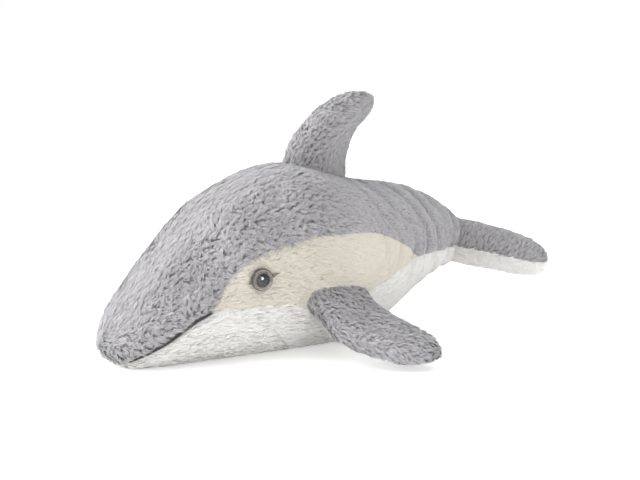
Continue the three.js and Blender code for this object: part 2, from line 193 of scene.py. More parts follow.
@dataclass(frozen=True)
class PileFinish:
    """The pile of plush cloth: painted shade darkens each strand towards its root, where the tufts shade it,
    and it is light at the tips.
    """

    name: str
    root_shade: Colour
    tip: Colour
    spread: float

    def material(self) -> bpy.types.Material:
        """Builds the strand material: painted shade from root to tip along each strand, tone from tuft to
        tuft, and a painted sheen where the pile lies sleek.
        """
        made, tree, shader = blank_material(self.name)
        strand = node(tree, "ShaderNodeAttribute", {"attribute_name": "strand"}, output="Vector")
        parts = [node(tree, "ShaderNodeSeparateXYZ", inputs={0: strand}, output=i) for i in range(3)]
        along, tone, patch = parts
        # painted shade: the root colour is darker than the tip, standing in for the shade between strands
        colour = mix_colour(tree, along, self.root_shade, self.tip)
        level = 1 + (tone - 0.5) * (2 * self.spread) + (patch - 0.5) * self.spread
        grey = node(tree, "ShaderNodeCombineColor", inputs={0: level, 1: level, 2: level})
        colour = mix_colour(tree, 1.0, colour, grey, "MULTIPLY")
        feed(shader, {"Base Color": colour, "Roughness": 0.82, "Specular IOR Level": 0.18,
                      "Sheen Weight": 0.25, "Sheen Roughness": 0.5})
        return made


@dataclass(frozen=True)
class GrainFinish:
    """A surface whose colour wanders between two shades, with a fine grain on it.

    The noises are a scale and a detail each, and the bump is a strength and a height in metres.
    """

    name: str
    dark: Colour
    light: Colour
    patches: tuple[float, float]
    grain: tuple[float, float] = (0.0, 0.0)
    bump: tuple[float, float] = (0.0, 0.0)
    roughness: float = 0.9
    swing: float = 0.0
    specular: float = 0.5

    def material(self) -> bpy.types.Material:
        """Builds the two shades, the grain and the gloss."""
        made, tree, shader = blank_material(self.name)
        place = node(tree, "ShaderNodeTexCoord", output="Object")
        patches = noise(tree, place, *self.patches)
        feed(shader, {"Base Color": mix_colour(tree, patches, self.dark, self.light),
                      "Roughness": self.roughness, "Specular IOR Level": self.specular})
        if self.swing:
            feed(shader, {"Roughness": patches * self.swing + (self.roughness - self.swing / 2)})
        if self.bump[0]:
            feed(shader, {"Normal": relief(tree, noise(tree, place, *self.grain), *self.bump)})
        return made


def noise(tree: bpy.types.NodeTree, place: Wire, scale: float, detail: float = 2.0) -> Wire:
    """Noise at a scale and with a detail."""
    return node(tree, "ShaderNodeTexNoise", inputs={"Vector": place, "Scale": scale, "Detail": detail})


def relief(tree: bpy.types.NodeTree, height: Wire, strength: float, distance: float) -> Wire:
    """Normals that follow a height."""
    inputs = {"Strength": strength, "Distance": distance, "Height": height}
    return node(tree, "ShaderNodeBump", inputs=inputs)


def darker(colour: Colour, share: float) -> Colour:
    """A colour at a share of its brightness."""
    return tuple(share * part for part in colour[:3]) + (1.0,)


def backing(name: str, colour: Colour) -> GrainFinish:
    """The knitted backing under the pile, seen only between tufts and along the seams."""
    return GrainFinish(name, darker(colour, 0.6), colour, (260.0, 3.0), (1500.0, 1.0), (0.4, 0.0004),
                       roughness=0.95, specular=0.1)


def moulded(name: str, colour: Colour, roughness: float = 0.4, specular: float = 0.5) -> GrainFinish:
    """Moulded plastic with faint flow marks."""
    return GrainFinish(name, darker(colour, 0.8), colour, (400.0, 2.0), roughness=roughness, swing=0.1,
                       specular=specular)


LINING = GrainFinish("mouth_lining", (0.006, 0.006, 0.006, 1), (0.03, 0.028, 0.028, 1), (1200.0, 2.0),
                     (1200.0, 2.0), (0.5, 0.0003))
FIBRE = GrainFinish("stuffing_fibre", (0.62, 0.61, 0.59, 1), (0.88, 0.87, 0.85, 1), (320.0, 4.0),
                    (320.0, 4.0), (0.7, 0.001), roughness=1.0)


@dataclass(frozen=True)
class IrisFinish:
    """Painted iris: brown with fine rays, darker at the rim."""

    name: str = "painted_iris"

    def material(self) -> bpy.types.Material:
        """Builds the iris paint from the piece's own ring and ray attribute."""
        made, tree, shader = blank_material(self.name)
        ring = node(tree, "ShaderNodeAttribute", {"attribute_name": "iris"}, output="Vector")
        across = node(tree, "ShaderNodeSeparateXYZ", inputs={0: ring}, output=0)
        ray = node(tree, "ShaderNodeSeparateXYZ", inputs={0: ring}, output=1)
        stops = [(0.0, (0.01, 0.009, 0.008, 1)), (0.57, (0.02, 0.017, 0.015, 1)),
                 (0.64, (0.06, 0.05, 0.042, 1)), (0.74, (0.12, 0.1, 0.085, 1)),
                 (0.81, (0.05, 0.042, 0.036, 1)), (0.885, (0.42, 0.375, 0.33, 1)),
                 (0.94, (0.06, 0.05, 0.043, 1)), (1.0, (0.012, 0.01, 0.009, 1))]
        colour = node(tree, "ShaderNodeValToRGB", {"stops": stops}, {"Fac": across})
        colour = mix_colour(tree, ray * 0.45, colour, (0.03, 0.024, 0.02, 1))
        feed(shader, {"Base Color": colour, "Roughness": 0.3})
        return made


@dataclass(frozen=True)
class ClearFinish:
    """Clear plastic dome over the iris."""

    name: str = "clear_dome"

    def material(self) -> bpy.types.Material:
        """Builds a thin clear gloss: mostly see-through, with a sharp reflection."""
        made, tree, shader = blank_material(self.name)
        place = node(tree, "ShaderNodeTexCoord", output="Object")
        haze = relief(tree, noise(tree, place, 90.0), 0.02, 0.0002)
        feed(shader, {"Base Color": (0.9, 0.9, 0.9, 1), "Roughness": 0.03, "Transmission Weight": 1.0,
                      "IOR": 1.33, "Normal": haze})
        return made


def blank_material(name: str) -> tuple[bpy.types.Material, bpy.types.NodeTree, bpy.types.Node]:
    """Starts a material with only its Principled shader.

    Args:
        name: Material name.

    Returns:
        The material, its tree and the Principled node.
    """
    made = bpy.data.materials.new(name)
    made.use_nodes = True
    tree = made.node_tree
    tree.nodes.clear()
    out = tree.nodes.new("ShaderNodeOutputMaterial")
    shader = tree.nodes.new("ShaderNodeBsdfPrincipled")
    tree.links.new(shader.outputs[0], out.inputs[0])
    return made, tree, shader


# ------------------------------------------------------------------------------ curves and noise


@dataclass(frozen=True)
class Curve:
    """A smooth curve through (distance, value) stations that never swings past them."""

    stations: tuple[tuple[float, float], ...]

    def __call__(self, at: np.ndarray | float) -> np.ndarray:
        """Reads the curve, level beyond its ends.

        Args:
            at: Distances.

        Returns:
            Values at those distances.
        """
        xs, ys = np.array(self.stations, float).T
        rise = np.diff(ys) / np.diff(xs)
        slope = np.zeros(len(xs))
        slope[0], slope[-1] = rise[0], rise[-1]
        same = rise[:-1] * rise[1:] > 0
        total = np.where(same, rise[:-1] + rise[1:], 1.0)
        slope[1:-1] = np.where(same, 2 * rise[:-1] * rise[1:] / total, 0.0)
        x = np.clip(np.asarray(at, float), xs[0], xs[-1])
        i = np.clip(np.searchsorted(xs, x) - 1, 0, len(xs) - 2)
        width = xs[i + 1] - xs[i]
        t = (x - xs[i]) / width
        step = ys[i + 1] - ys[i]
        bend = (slope[i] * width - step) * (1 - t) + (step - slope[i + 1] * width) * t
        return ys[i] + step * t + t * (1 - t) * bend


def smooth_step(low: float, high: float, x: np.ndarray) -> np.ndarray:
    """Eases from 0 at low to 1 at high.

    Args:
        low: Where it leaves 0.
        high: Where it reaches 1.
        x: Values.

    Returns:
        The eased share.
    """
    t = np.clip((x - low) / (high - low), 0, 1)
    return t * t * (3 - 2 * t)


def scatter(cells: np.ndarray, seed: int) -> np.ndarray:
    """A repeatable random number for each row of whole numbers.

    Args:
        cells: Rows of whole numbers.
        seed: Which set of random numbers.

    Returns:
        Numbers from 0 to 1.
    """
    mixed = cells.astype(np.int64) @ np.array([73856093, 19349663, 83492791], np.int64) + seed * 2654435761
    mixed = (mixed ^ (mixed >> 13)) * 1274126177
    mixed = (mixed ^ (mixed >> 16)) * 2246822519
    return ((mixed ^ (mixed >> 15)) & 0xFFFFFF) / float(0x1000000)


def soft_noise(points: np.ndarray, size: float, seed: int) -> np.ndarray:
    """Smooth value noise in space.

    Args:
        points: Places in millimetres.
        size: Distance over which it changes.
        seed: Which noise.

    Returns:
        Values from -1 to 1.
    """
    scaled = points / size
    base = np.floor(scaled).astype(np.int64)
    part = scaled - base
    part = part * part * (3 - 2 * part)
    total = np.zeros(len(points))
    for corner in range(8):
        step = np.array([corner & 1, corner >> 1 & 1, corner >> 2 & 1])
        weight = np.prod(np.where(step, part, 1 - part), axis=1)
        total += weight * scatter(base + step, seed)
    return total * 2 - 1


def unit(vectors: np.ndarray) -> np.ndarray:
    """Vectors at length one."""
    return vectors / np.maximum(np.linalg.norm(vectors, axis=-1, keepdims=True), 1e-9)


# ------------------------------------------------------------------------------ cloth and pile


@dataclass
class Sheet:
    """A patch of cloth surface: its points, its quads and the way its pile is brushed."""

    points: np.ndarray
    faces: np.ndarray
    flow: np.ndarray

    def triangles(self) -> np.ndarray:
        """The faces as triangles."""
        return np.concatenate([self.faces[:, [0, 1, 2]], self.faces[:, [0, 2, 3]]])

    def normals(self) -> np.ndarray:
        """A unit normal at each point, from the faces round it."""
        tri = self.triangles()
        a, b, c = (self.points[tri[:, i]] for i in range(3))
        face = np.cross(b - a, c - a)
        total = np.stack([sum(np.bincount(tri[:, i], face[:, k], len(self.points)) for i in range(3))
                          for k in range(3)], -1)
        return unit(total)

    def middles(self) -> np.ndarray:
        """The middle of each face."""
        return self.points[self.faces].mean(1)


def tube_sheet(along: int, around: int, place: Callable[[np.ndarray, np.ndarray], np.ndarray],
               brush: Callable[[np.ndarray, np.ndarray], np.ndarray] | None = None) -> Sheet:
    """Bends a grid into a tube of cloth.

    Args:
        along: Faces along the tube.
        around: Faces round it.
        place: Gives points in millimetres for shares along and around it, 0 to 1.
        brush: Gives the direction of the pile for the directions along the tube and round it. The pile
            lies along the tube if it is left out.

    Returns:
        The tube, its faces pointing out.
    """
    grid = bmesh.new()
    bmesh.ops.create_grid(grid, x_segments=along, y_segments=around, size=0.5)
    flat = np.array([v.co[:2] for v in grid.verts]) + 0.5
    faces = np.array([[v.index for v in f.verts] for f in grid.faces])
    grid.free()
    column = np.rint(flat[:, 0] * along).astype(int)
    row = np.rint(flat[:, 1] * around).astype(int) % around
    faces = (column * around + row)[faces]
    steps = np.arange(along + 1) / along, np.arange(around) / around
    share = np.stack(np.meshgrid(*steps, indexing="ij"), -1).reshape(-1, 2)
    points = place(share[:, 0], share[:, 1])
    shaped = points.reshape(along + 1, around, 3)
    run = np.gradient(shaped, axis=0).reshape(-1, 3)
    turn = (np.roll(shaped, -1, axis=1) - np.roll(shaped, 1, axis=1)).reshape(-1, 3)
    a, b, c = (points[faces[:, i]] for i in range(3))
    outward = ((a - points.mean(0)) * np.cross(b - a, c - a)).sum()
    faces = faces if outward > 0 else faces[:, ::-1]
    return Sheet(points, faces, unit(run if brush is None else brush(unit(run), unit(turn))))


def make_object(name: str, points: np.ndarray, faces: np.ndarray,
                material: bpy.types.Material) -> bpy.types.Object:
    """Makes a mesh object from points in millimetres from the nose.

    Args:
        name: Object name.
        points: Points in millimetres, x measured from the nose.
        faces: Corner numbers, one row per face.
        material: Its material.

    Returns:
        The object, linked to the scene.
    """
    used, index = np.unique(faces, return_inverse=True)
    index = index.reshape(faces.shape)
    mesh = bpy.data.meshes.new(name)
    placed = (points[used] - np.array([NOSE_TO_ORIGIN, 0, 0])) * MM
    mesh.vertices.add(len(placed))
    mesh.vertices.foreach_set("co", placed.astype(np.float32).ravel())
    mesh.loops.add(index.size)
    mesh.loops.foreach_set("vertex_index", index.astype(np.int32).ravel())
    mesh.polygons.add(len(index))
    mesh.polygons.foreach_set("loop_start", np.arange(0, index.size, faces.shape[1], dtype=np.int32))
    mesh.polygons.foreach_set("use_smooth", np.ones(len(index), bool))
    mesh.update(calc_edges=True)
    mesh.materials.append(material)
    return link_mesh(name, mesh)


def link_mesh(name: str, mesh: bpy.types.Mesh) -> bpy.types.Object:
    """Puts a mesh in the scene as an object."""
    made = bpy.data.objects.new(name, mesh)
    bpy.context.scene.collection.objects.link(made)
    return made


def cloth_piece(name: str, sheet: Sheet, keep: np.ndarray, material: bpy.types.Material,
                thickness: float = 1.4) -> bpy.types.Object:
    """Makes a cloth panel from part of a sheet.

    Args:
        name: Object name.
        sheet: The surface that it is cut from.
        keep: Which faces it takes.
        material: Its backing.
        thickness: Cloth thickness in millimetres.

    Returns:
        The object.
    """
    made = make_object(name, sheet.points, sheet.faces[keep], material)
    shell = made.modifiers.new("thickness", "SOLIDIFY")
    shell.thickness = thickness * MM
    shell.offset = -1.0
    return made


@dataclass(frozen=True)
class Pile:
    """Strands of pile, gathered in small tufts, grown on a sheet of cloth.

    Length, width and tuft are in millimetres and density is strands per square millimetre. Ruffle, lift
    and gather say how far strands turn aside, stand up and lean together. Tone and sparkle say how light
    the pile is and how much its tufts glitter. The painted sheen is painted light: how much lighter the pile
    is coloured where it lies sleek, so sleek crowns and tails look lit and ruffled sides look shaded.
    """

    length: float = 8.5
    density: float = 2.0
    width: float = 0.4
    tuft: float = 2.7
    gather: float = 0.5
    ruffle: float = 0.95
    lift: float = 0.6
    tone: float = 0.43
    sparkle: float = 0.42
    # painted sheen: sleek pile is coloured lighter, as if lit
    painted_sheen: float = 0.28
    tuft_turn: float = 2.4
    swirl: float = 0.9
    swirl_size: float = 17.0
    patch_size: float = 34.0
    seed: int = 1

    def grow(self, name: str, sheet: Sheet, ground: Ground,
             material: bpy.types.Material) -> bpy.types.Object:
        """Grows pile on a sheet as one object.

        Args:
            name: Object name.
            sheet: The cloth that it grows on.
            ground: Where it grows, how long and how ruffled.
            material: Strand material.

        Returns:
            The object.
        """
        rng = np.random.default_rng(self.seed)
        root, normal, flow = self._roots(sheet, rng)
        keep = ground.keep(root)
        root, normal, flow = root[keep], normal[keep], flow[keep]
        count = len(root)
        rough = ground.rough(root)
        tuft = self._tufts(root)
        code = tuft[:, None] * np.array([1, 7, 13])
        turn = (scatter(code, 5) - 0.5) * self.tuft_turn * self.ruffle * rough
        turn += self.swirl * self.ruffle * rough * soft_noise(root, self.swirl_size, self.seed + 9)
        turn += rng.normal(0, 0.12, count) + rng.normal(0, 0.2, count) * rough
        across = np.cross(normal, flow)
        brushed = flow * np.cos(turn)[:, None] + across * np.sin(turn)[:, None]
        size = self.length * ground.length(root) * (0.75 + 0.4 * scatter(code, 11))
        size *= rng.uniform(0.8, 1.15, count)
        rise = self.lift * (0.3 + 1.1 * scatter(code, 17)) * (0.25 + 0.75 * rough)
        first = unit(normal * (rise + 0.5)[:, None] + brushed * 0.62)
        second = unit(normal * (rise * 0.35)[:, None] + brushed)
        mid = root + first * (size * 0.46)[:, None]
        tip = mid + second * (size * 0.6)[:, None]
        hold = self.gather * (0.35 + 0.75 * scatter(code, 29)) * (0.3 + 0.7 * rough)
        tip = self._gather(tuft, tip, hold)
        mid = self._gather(tuft, mid, 0.35 * hold)
        made = self._ribbons(name, (root, mid, tip), normal, code, rough, rng, material)
        LOG.info("%s: %d strands", name, count)
        return made

    def _roots(self, sheet: Sheet, rng: np.random.Generator) -> tuple[np.ndarray, np.ndarray, np.ndarray]:
        """Spreads roots evenly over the sheet.

        Args:
            sheet: The cloth.
            rng: The random numbers to draw from.

        Returns:
            The roots, the cloth's normals there and the way it is brushed there.
        """
        tri = sheet.triangles()
        a, b, c = (sheet.points[tri[:, i]] for i in range(3))
        area = np.linalg.norm(np.cross(b - a, c - a), axis=1) / 2
        count = np.floor(area * self.density + rng.random(len(tri))).astype(int)
        face = np.repeat(np.arange(len(tri)), count)
        u, v = rng.random(len(face)), rng.random(len(face))
        over = u + v > 1
        u, v = np.where(over, 1 - u, u), np.where(over, 1 - v, v)
        weight = np.stack([1 - u - v, u, v], -1)[:, :, None]
        corner = tri[face]
        root = (sheet.points[corner] * weight).sum(1)
        normal = unit((sheet.normals()[corner] * weight).sum(1))
        flow = (sheet.flow[corner] * weight).sum(1)
        flow = unit(flow - normal * (flow * normal).sum(1, keepdims=True))
        return root, normal, flow

    def _tufts(self, root: np.ndarray) -> np.ndarray:
        """Numbers the tuft that each root belongs to: the nearest scattered tuft centre.

        Args:
            root: Places of the strands' roots.

        Returns:
            A tuft number for each root.
        """
        base = np.floor(root / self.tuft).astype(np.int64)
        best = np.full(len(root), 1e9)
        label = np.zeros(len(root), np.int64)
        for step in np.ndindex(3, 3, 3):
            cell = base + np.array(step) - 1
            jitter = np.stack([scatter(cell, self.seed * 3 + k) for k in range(3)], -1)
            distance = (((cell + jitter) * self.tuft - root) ** 2).sum(1)
            nearer = distance < best
            best = np.where(nearer, distance, best)
            label = np.where(nearer, cell @ np.array([1, 4096, 4096 * 4096], np.int64), label)
        return np.unique(label, return_inverse=True)[1]

    @staticmethod
    def _gather(tuft: np.ndarray, places: np.ndarray, strength: np.ndarray) -> np.ndarray:
        """Draws places towards the middle of their tuft."""
        total = np.bincount(tuft).astype(float)
        middle = np.stack([np.bincount(tuft, places[:, k]) / total for k in range(3)], -1)
        return places + (middle[tuft] - places) * strength[:, None]

    def _ribbons(self, name: str, line: tuple[np.ndarray, ...], normal: np.ndarray, code: np.ndarray,
                 rough: np.ndarray, rng: np.random.Generator,
                 material: bpy.types.Material) -> bpy.types.Object:
        """Turns each strand into a tapering ribbon of three triangles.

        Args:
            name: Object name.
            line: The root, middle and tip of each strand.
            normal: The cloth's normal at each root.
            code: Whole numbers that tell its tuft.
            rough: How ruffled each strand is.
            rng: The random numbers to draw from.
            material: Strand material.

        Returns:
            The object.
        """
        root, mid, tip = line
        count = len(root)
        face_up = unit(normal + (0.12 + 0.2 * rough)[:, None] * rng.normal(0, 1, (count, 3)))
        run = unit(tip - root)
        across = unit(np.cross(face_up, run))
        half = across * (self.width / 2) * rng.uniform(0.7, 1.35, count)[:, None]
        points = np.stack([root - half, root + half, mid - half, mid + half, tip], 1).reshape(-1, 3)
        points[:, 2] = np.where(points[:, 2] < FLOOR_GAP, FLOOR_GAP + 0.02 * points[:, 2], points[:, 2])
        points[:, 2] = np.maximum(points[:, 2], 0.05)
        base = np.arange(count)[:, None] * STRAND_POINTS
        faces = np.concatenate([base + [0, 3, 1], base + [0, 2, 3], base + [2, 4, 3]])
        made = make_object(name, points, faces, material)
        # channels: painted shade from root (0) to tip (1), tone that varies at random by tuft, and random
        # patches plus the painted sheen
        strand = np.zeros((count, STRAND_POINTS, 3))
        strand[:, 2:4, 0] = 0.62
        strand[:, 4, 0] = 1.0
        vary = 0.2 + 0.8 * rough
        strand[:, :, 1] = (0.5 + vary * (0.5 * scatter(code, 23) + 0.5 * rng.random(count) - 0.5))[:, None]
        # patch: random patches plus the painted sheen, which colours sleek pile lighter
        patch = 0.5 * vary * soft_noise(root, self.patch_size, self.seed + 4) + self.painted_sheen * (1 - rough)
        strand[:, :, 2] = (self.tone + patch)[:, None]
        attribute = made.data.attributes.new("strand", "FLOAT_VECTOR", "POINT")
        attribute.data.foreach_set("vector", strand.astype(np.float32).ravel())
        self._unwrap(made.data, count)
        tilt = (self.sparkle * (0.25 + 0.75 * rough))[:, None] * rng.normal(0, 1, (count, 3))
        flat = np.cross(run, across)
        facing = np.maximum((flat * normal).sum(1, keepdims=True), 0)
        soft = np.repeat(unit(flat + 2.5 * facing * (normal + tilt)), STRAND_POINTS, axis=0)
        made.data.normals_split_custom_set_from_vertices(soft)
        return made

    @staticmethod
    def _unwrap(mesh: bpy.types.Mesh, count: int) -> None:
        """Gives each strand a cell of its own on the cloth's map."""
        cells = math.ceil(math.sqrt(count))
        number = np.arange(count)
        corner = np.stack([number % cells, number // cells], -1)[:, None, :]
        inside = np.array([[0.2, 0.15], [0.8, 0.15], [0.25, 0.5], [0.75, 0.5], [0.5, 0.85]])
        flat = ((corner + inside) / cells).reshape(-1, 2)
        corners = np.empty(len(mesh.loops), np.int32)
        mesh.loops.foreach_get("vertex_index", corners)
        layer = mesh.uv_layers.new(name="OFBake")
        layer.uv.foreach_set("vector", flat[corners].astype(np.float32).ravel())


class Ground:
    """Where pile grows; a sub-assembly's own grounds say more."""

    def keep(self, root: np.ndarray) -> np.ndarray:
        """Whether a strand grows at each root."""
        return np.ones(len(root), bool)

    def length(self, root: np.ndarray) -> np.ndarray:
        """Share of the full length at each root."""
        return np.ones(len(root))

    def rough(self, root: np.ndarray) -> np.ndarray:
        """How ruffled the pile is at each root, 0 to 1."""
        return np.ones(len(root))


# ------------------------------------------------------------------------------ body


@dataclass(frozen=True)
class BodyForm:
    """The shape of the stuffed body and the pattern lines on it."""

    nose_rounding: float = 30.0
    widest: float = 0.52
    power: float = 0.96
    lower_power: float = 0.88
    flat_depth: float = 3.5
    cap_start: float = 393.0
    cap_length: float = 32.0
    back: Curve = Curve(((0, 42), (20, 58), (60, 102), (125, 161), (200, 185), (250, 173.5), (275, 167),
                         (295, 163), (325, 158.5), (352, 151.5), (380, 139.5), (412, 118)))
    belly: Curve = Curve(((0, 7), (25, 1), (60, 0), (250, 0), (300, 17), (345, 44), (378, 61), (412, 70)))
    half_width: Curve = Curve(((0, 26), (20, 42), (60, 62), (125, 79), (200, 85), (275, 79), (345, 60),
                               (378, 47), (412, 36)))
    mouth: Curve = Curve(((12, 3), (16, 7), (22, 14), (32, 21), (47, 31), (59, 41), (71, 50), (84, 57)))
    patch_top: Curve = Curve(((84, 57), (88, 63), (95, 78), (104, 91), (123, 104), (154, 114), (209, 123),
                              (259, 120), (296, 107), (311, 98), (322, 89)))
    patch_bottom: Curve = Curve(((84, 57), (101, 61), (122, 59), (153, 60), (181, 56), (225, 56), (270, 67),
                                 (306, 82), (322, 87)))
    tail_line: Curve = Curve(((322, 88), (345, 88), (378, 88), (412, 90)))
    mouth_front: float = 12.0
    mouth_back: float = 86.0
    patch_rear: float = 322.0

    def section(self, x: np.ndarray) -> tuple[np.ndarray, ...]:
        """Centre height and the up, down and side radii at distances from the nose.

        Args:
            x: Distances from the nose.

        Returns:
            The centre heights, then the three radii.
        """
        top = self.back(x)
        bottom = self.belly(x) - self.flat_depth
        centre = bottom + (top - bottom) * self.widest
        left = np.maximum(0, 1 - np.asarray(x, float) / self.nose_rounding)
        past = np.clip((x - self.cap_start) / self.cap_length, 0, 1)
        opening = np.sqrt(np.maximum(0, 1 - left * left)) * np.sqrt(1 - past * past)
        return centre, (top - centre) * opening, (centre - bottom) * opening, self.half_width(x) * opening

    def point(self, x: np.ndarray, angle: np.ndarray, depth: np.ndarray | float = 0.0) -> np.ndarray:
        """Points of the surface.

        Args:
            x: Distances from the nose.
            angle: Angles in degrees from the back seam, positive on the left.
            depth: Depth below the pile's surface.

        Returns:
            Points in millimetres.
        """
        centre, up, down, side = self.section(x)
        turn = np.radians(angle)
        sine, cosine = np.sin(turn), np.cos(turn)
        power = self.power_at(x, cosine < 0)
        across = np.sign(sine) * np.abs(sine) ** power * np.maximum(side - depth, side * 0.25)
        radius = np.where(cosine > 0, up, down)
        upright = np.sign(cosine) * np.abs(cosine) ** power * np.maximum(radius - depth, radius * 0.25)
        forward = depth * np.maximum(0, 1 - np.asarray(x, float) / self.nose_rounding)
        height = np.maximum(centre + upright, depth)
        return np.stack([x + forward, -across, height], -1)

    def power_at(self, x: np.ndarray, lower: np.ndarray) -> np.ndarray:
        """Roundness of the section: the weight of the body fills out its lower half."""
        heavy = smooth_step(15, 60, x) * (1 - smooth_step(230, 320, x))
        return self.power + np.where(lower, self.lower_power - self.power, 0) * heavy

    def height_line(self, x: np.ndarray, upper: bool) -> np.ndarray:
        """Height of the lower edge of the grey cloth, or of the upper edge of the white cloth."""
        line = self.patch_top if upper else self.patch_bottom
        middle = np.where(x < self.patch_rear, line(x), self.tail_line(x))
        return np.where(x < self.mouth_back, self.mouth(x), middle)

    def inside(self, places: np.ndarray, margin: float) -> np.ndarray:
        """Whether places lie inside the body by more than a margin.

        Args:
            places: Places in millimetres.
            margin: How far inside counts.

        Returns:
            True where they do.
        """
        centre, up, down, side = self.section(places[:, 0])
        rise = places[:, 2] - centre
        tall, wide = (np.maximum(radius - margin, 1) for radius in (np.where(rise > 0, up, down), side))
        return (places[:, 1] / wide) ** 2 + (rise / tall) ** 2 < 1

    def on_side(self, x: np.ndarray, height: np.ndarray, side: int, depth: float = 0.0) -> np.ndarray:
        """Points of the surface at given heights on one side.

        Args:
            x: Distances from the nose.
            height: Heights above the floor.
            side: LEFT or RIGHT.
            depth: Depth below the pile's surface.

        Returns:
            Points in millimetres.
        """
        centre, up, down, _ = self.section(x)
        rise = height - centre
        cosine = np.clip(rise / np.where(rise > 0, up, down), -1, 1)
        cosine = np.sign(cosine) * np.abs(cosine) ** (1 / self.power_at(x, cosine < 0))
        return self.point(x, side * np.degrees(np.arccos(cosine)), depth)


FORM = BodyForm()


class Panel(Enum):
    """The panels that the body is cut from, with their cloth and the CAD skins they stand for."""

    BACK_LEFT = ("grey", "back_skin_left", "tail_skin_left")
    BACK_RIGHT = ("grey", "back_skin_right", "tail_skin_right")
    FLANK_LEFT = ("cream", "flank_patch_left")
    FLANK_RIGHT = ("cream", "flank_patch_right")
    BELLY = ("white", "belly_skin", "tail_underside")


@dataclass
class Cloth:
    """One kind of plush: how its pile lies, its finishes and its slot in the record."""

    style: Pile
    pile: PileFinish
    backing: GrainFinish
    slot: str

    def __post_init__(self) -> None:
        """Makes its two materials."""
        self.pile_material = self.pile.material()
        self.backing_material = self.backing.material()


@dataclass
class BodyGround(Ground):
    """One stretch of one body panel."""

    cover: BodyCover
    panel: int
    start: float
    end: float

    def keep(self, root: np.ndarray) -> np.ndarray:
        """Only on its own stretch, and not in the mouth seam, under an eye or inside a fin."""
        x = root[:, 0]
        out = (self.cover.panel_of(root) == self.panel) & (x >= self.start) & (x < self.end)
        mouth = np.abs(root[:, 2] - FORM.mouth(x)) < self.cover.mouth_gap
        out &= ~(mouth & (x < FORM.mouth_back - 2) & (x > 14))
        out &= self.cover.from_eye(root) > self.cover.eye_radius
        for blade in self.cover.blades:
            out &= ~blade.inside(root, 3.5)
        return out

    def length(self, root: np.ndarray) -> np.ndarray:
        """Shorter round the eyes, at the mouth and towards the tail."""
        x = root[:, 0]
        share = 1 - self.cover.sleek * smooth_step(*self.cover.thins, x)
        mouth = np.abs(root[:, 2] - FORM.mouth(x)) + 40 * (x > FORM.mouth_back)
        share *= 0.5 + 0.5 * smooth_step(1, 8, mouth)
        rim = self.cover.eye_radius
        return share * (0.5 + 0.5 * smooth_step(rim, rim + 8, self.cover.from_eye(root)))

    def rough(self, root: np.ndarray) -> np.ndarray:
        """Ruffled on the sides of the head, sleek along its crown and towards the tail; sleek pile gets more
        painted sheen, so the crown is coloured lighter than the sides.
        """
        x, off_middle, height = root[:, 0], np.abs(root[:, 1]), root[:, 2]
        crown = (1 - smooth_step(*self.cover.crown, off_middle)) * (height > FORM.section(x)[0])
        return (1 - 0.95 * smooth_step(*self.cover.settles, x)) * (1 - 0.8 * crown)


@dataclass(frozen=True)
class Creases:
    """Slanting creases where the cloth slackens towards the tail, and the neck in front of the flukes.

    The crease, the swell beside it and the neck are a depth and a width each.
    """

    spacing: float = 20.5
    closer: float = 6.0
    slant: float = 0.55
    straight_below: float = 112.0
    wander: float = 9.0
    crease: tuple[float, float] = (4.2, 2.9)
    swell: tuple[float, float] = (1.5, 3.2)
    swell_from_crease: float = 6.2
    neck: tuple[float, float] = (3.2, 3.2)
    neck_at: float = 384.0

    def depth(self, x: np.ndarray, angle: np.ndarray) -> np.ndarray:
        """Depth of the creases.

        Args:
            x: Distances from the nose.
            angle: Angles in degrees from the back seam.

        Returns:
            Depths in millimetres, below zero where the cloth swells.
        """
        height = FORM.point(x, angle)[:, 2]
        place = np.stack([x, height, 40 * np.sign(angle)], -1)
        slant = x + self.slant * np.maximum(height - self.straight_below, 0)
        slant += self.wander * soft_noise(place, 36, 3)
        spacing = self.spacing - self.closer * smooth_step(320, 385, x)
        away = np.abs((slant / self.spacing) % 1 - 0.5) * spacing
        where = smooth_step(248, 285, x) * (1 - 0.6 * smooth_step(396, 412, x))
        where *= smooth_step(60, 100, height + 0.5 * (x - 300))
        strength = np.clip(0.45 + 1.3 * soft_noise(place * [0.9, 0.5, 1], 28, 8), 0.05, 1)
        depth = hump(away, *self.crease) - hump(away - self.swell_from_crease, *self.swell)
        neck = hump(x - self.neck_at - 0.12 * (height - 90), *self.neck) * smooth_step(66, 78, height)
        return where * strength * depth + neck


def hump(away: np.ndarray, height: float, width: float) -> np.ndarray:
    """A smooth hump of a given height and width, at distances from its middle."""
    return height * np.exp(-(away / width) ** 2)


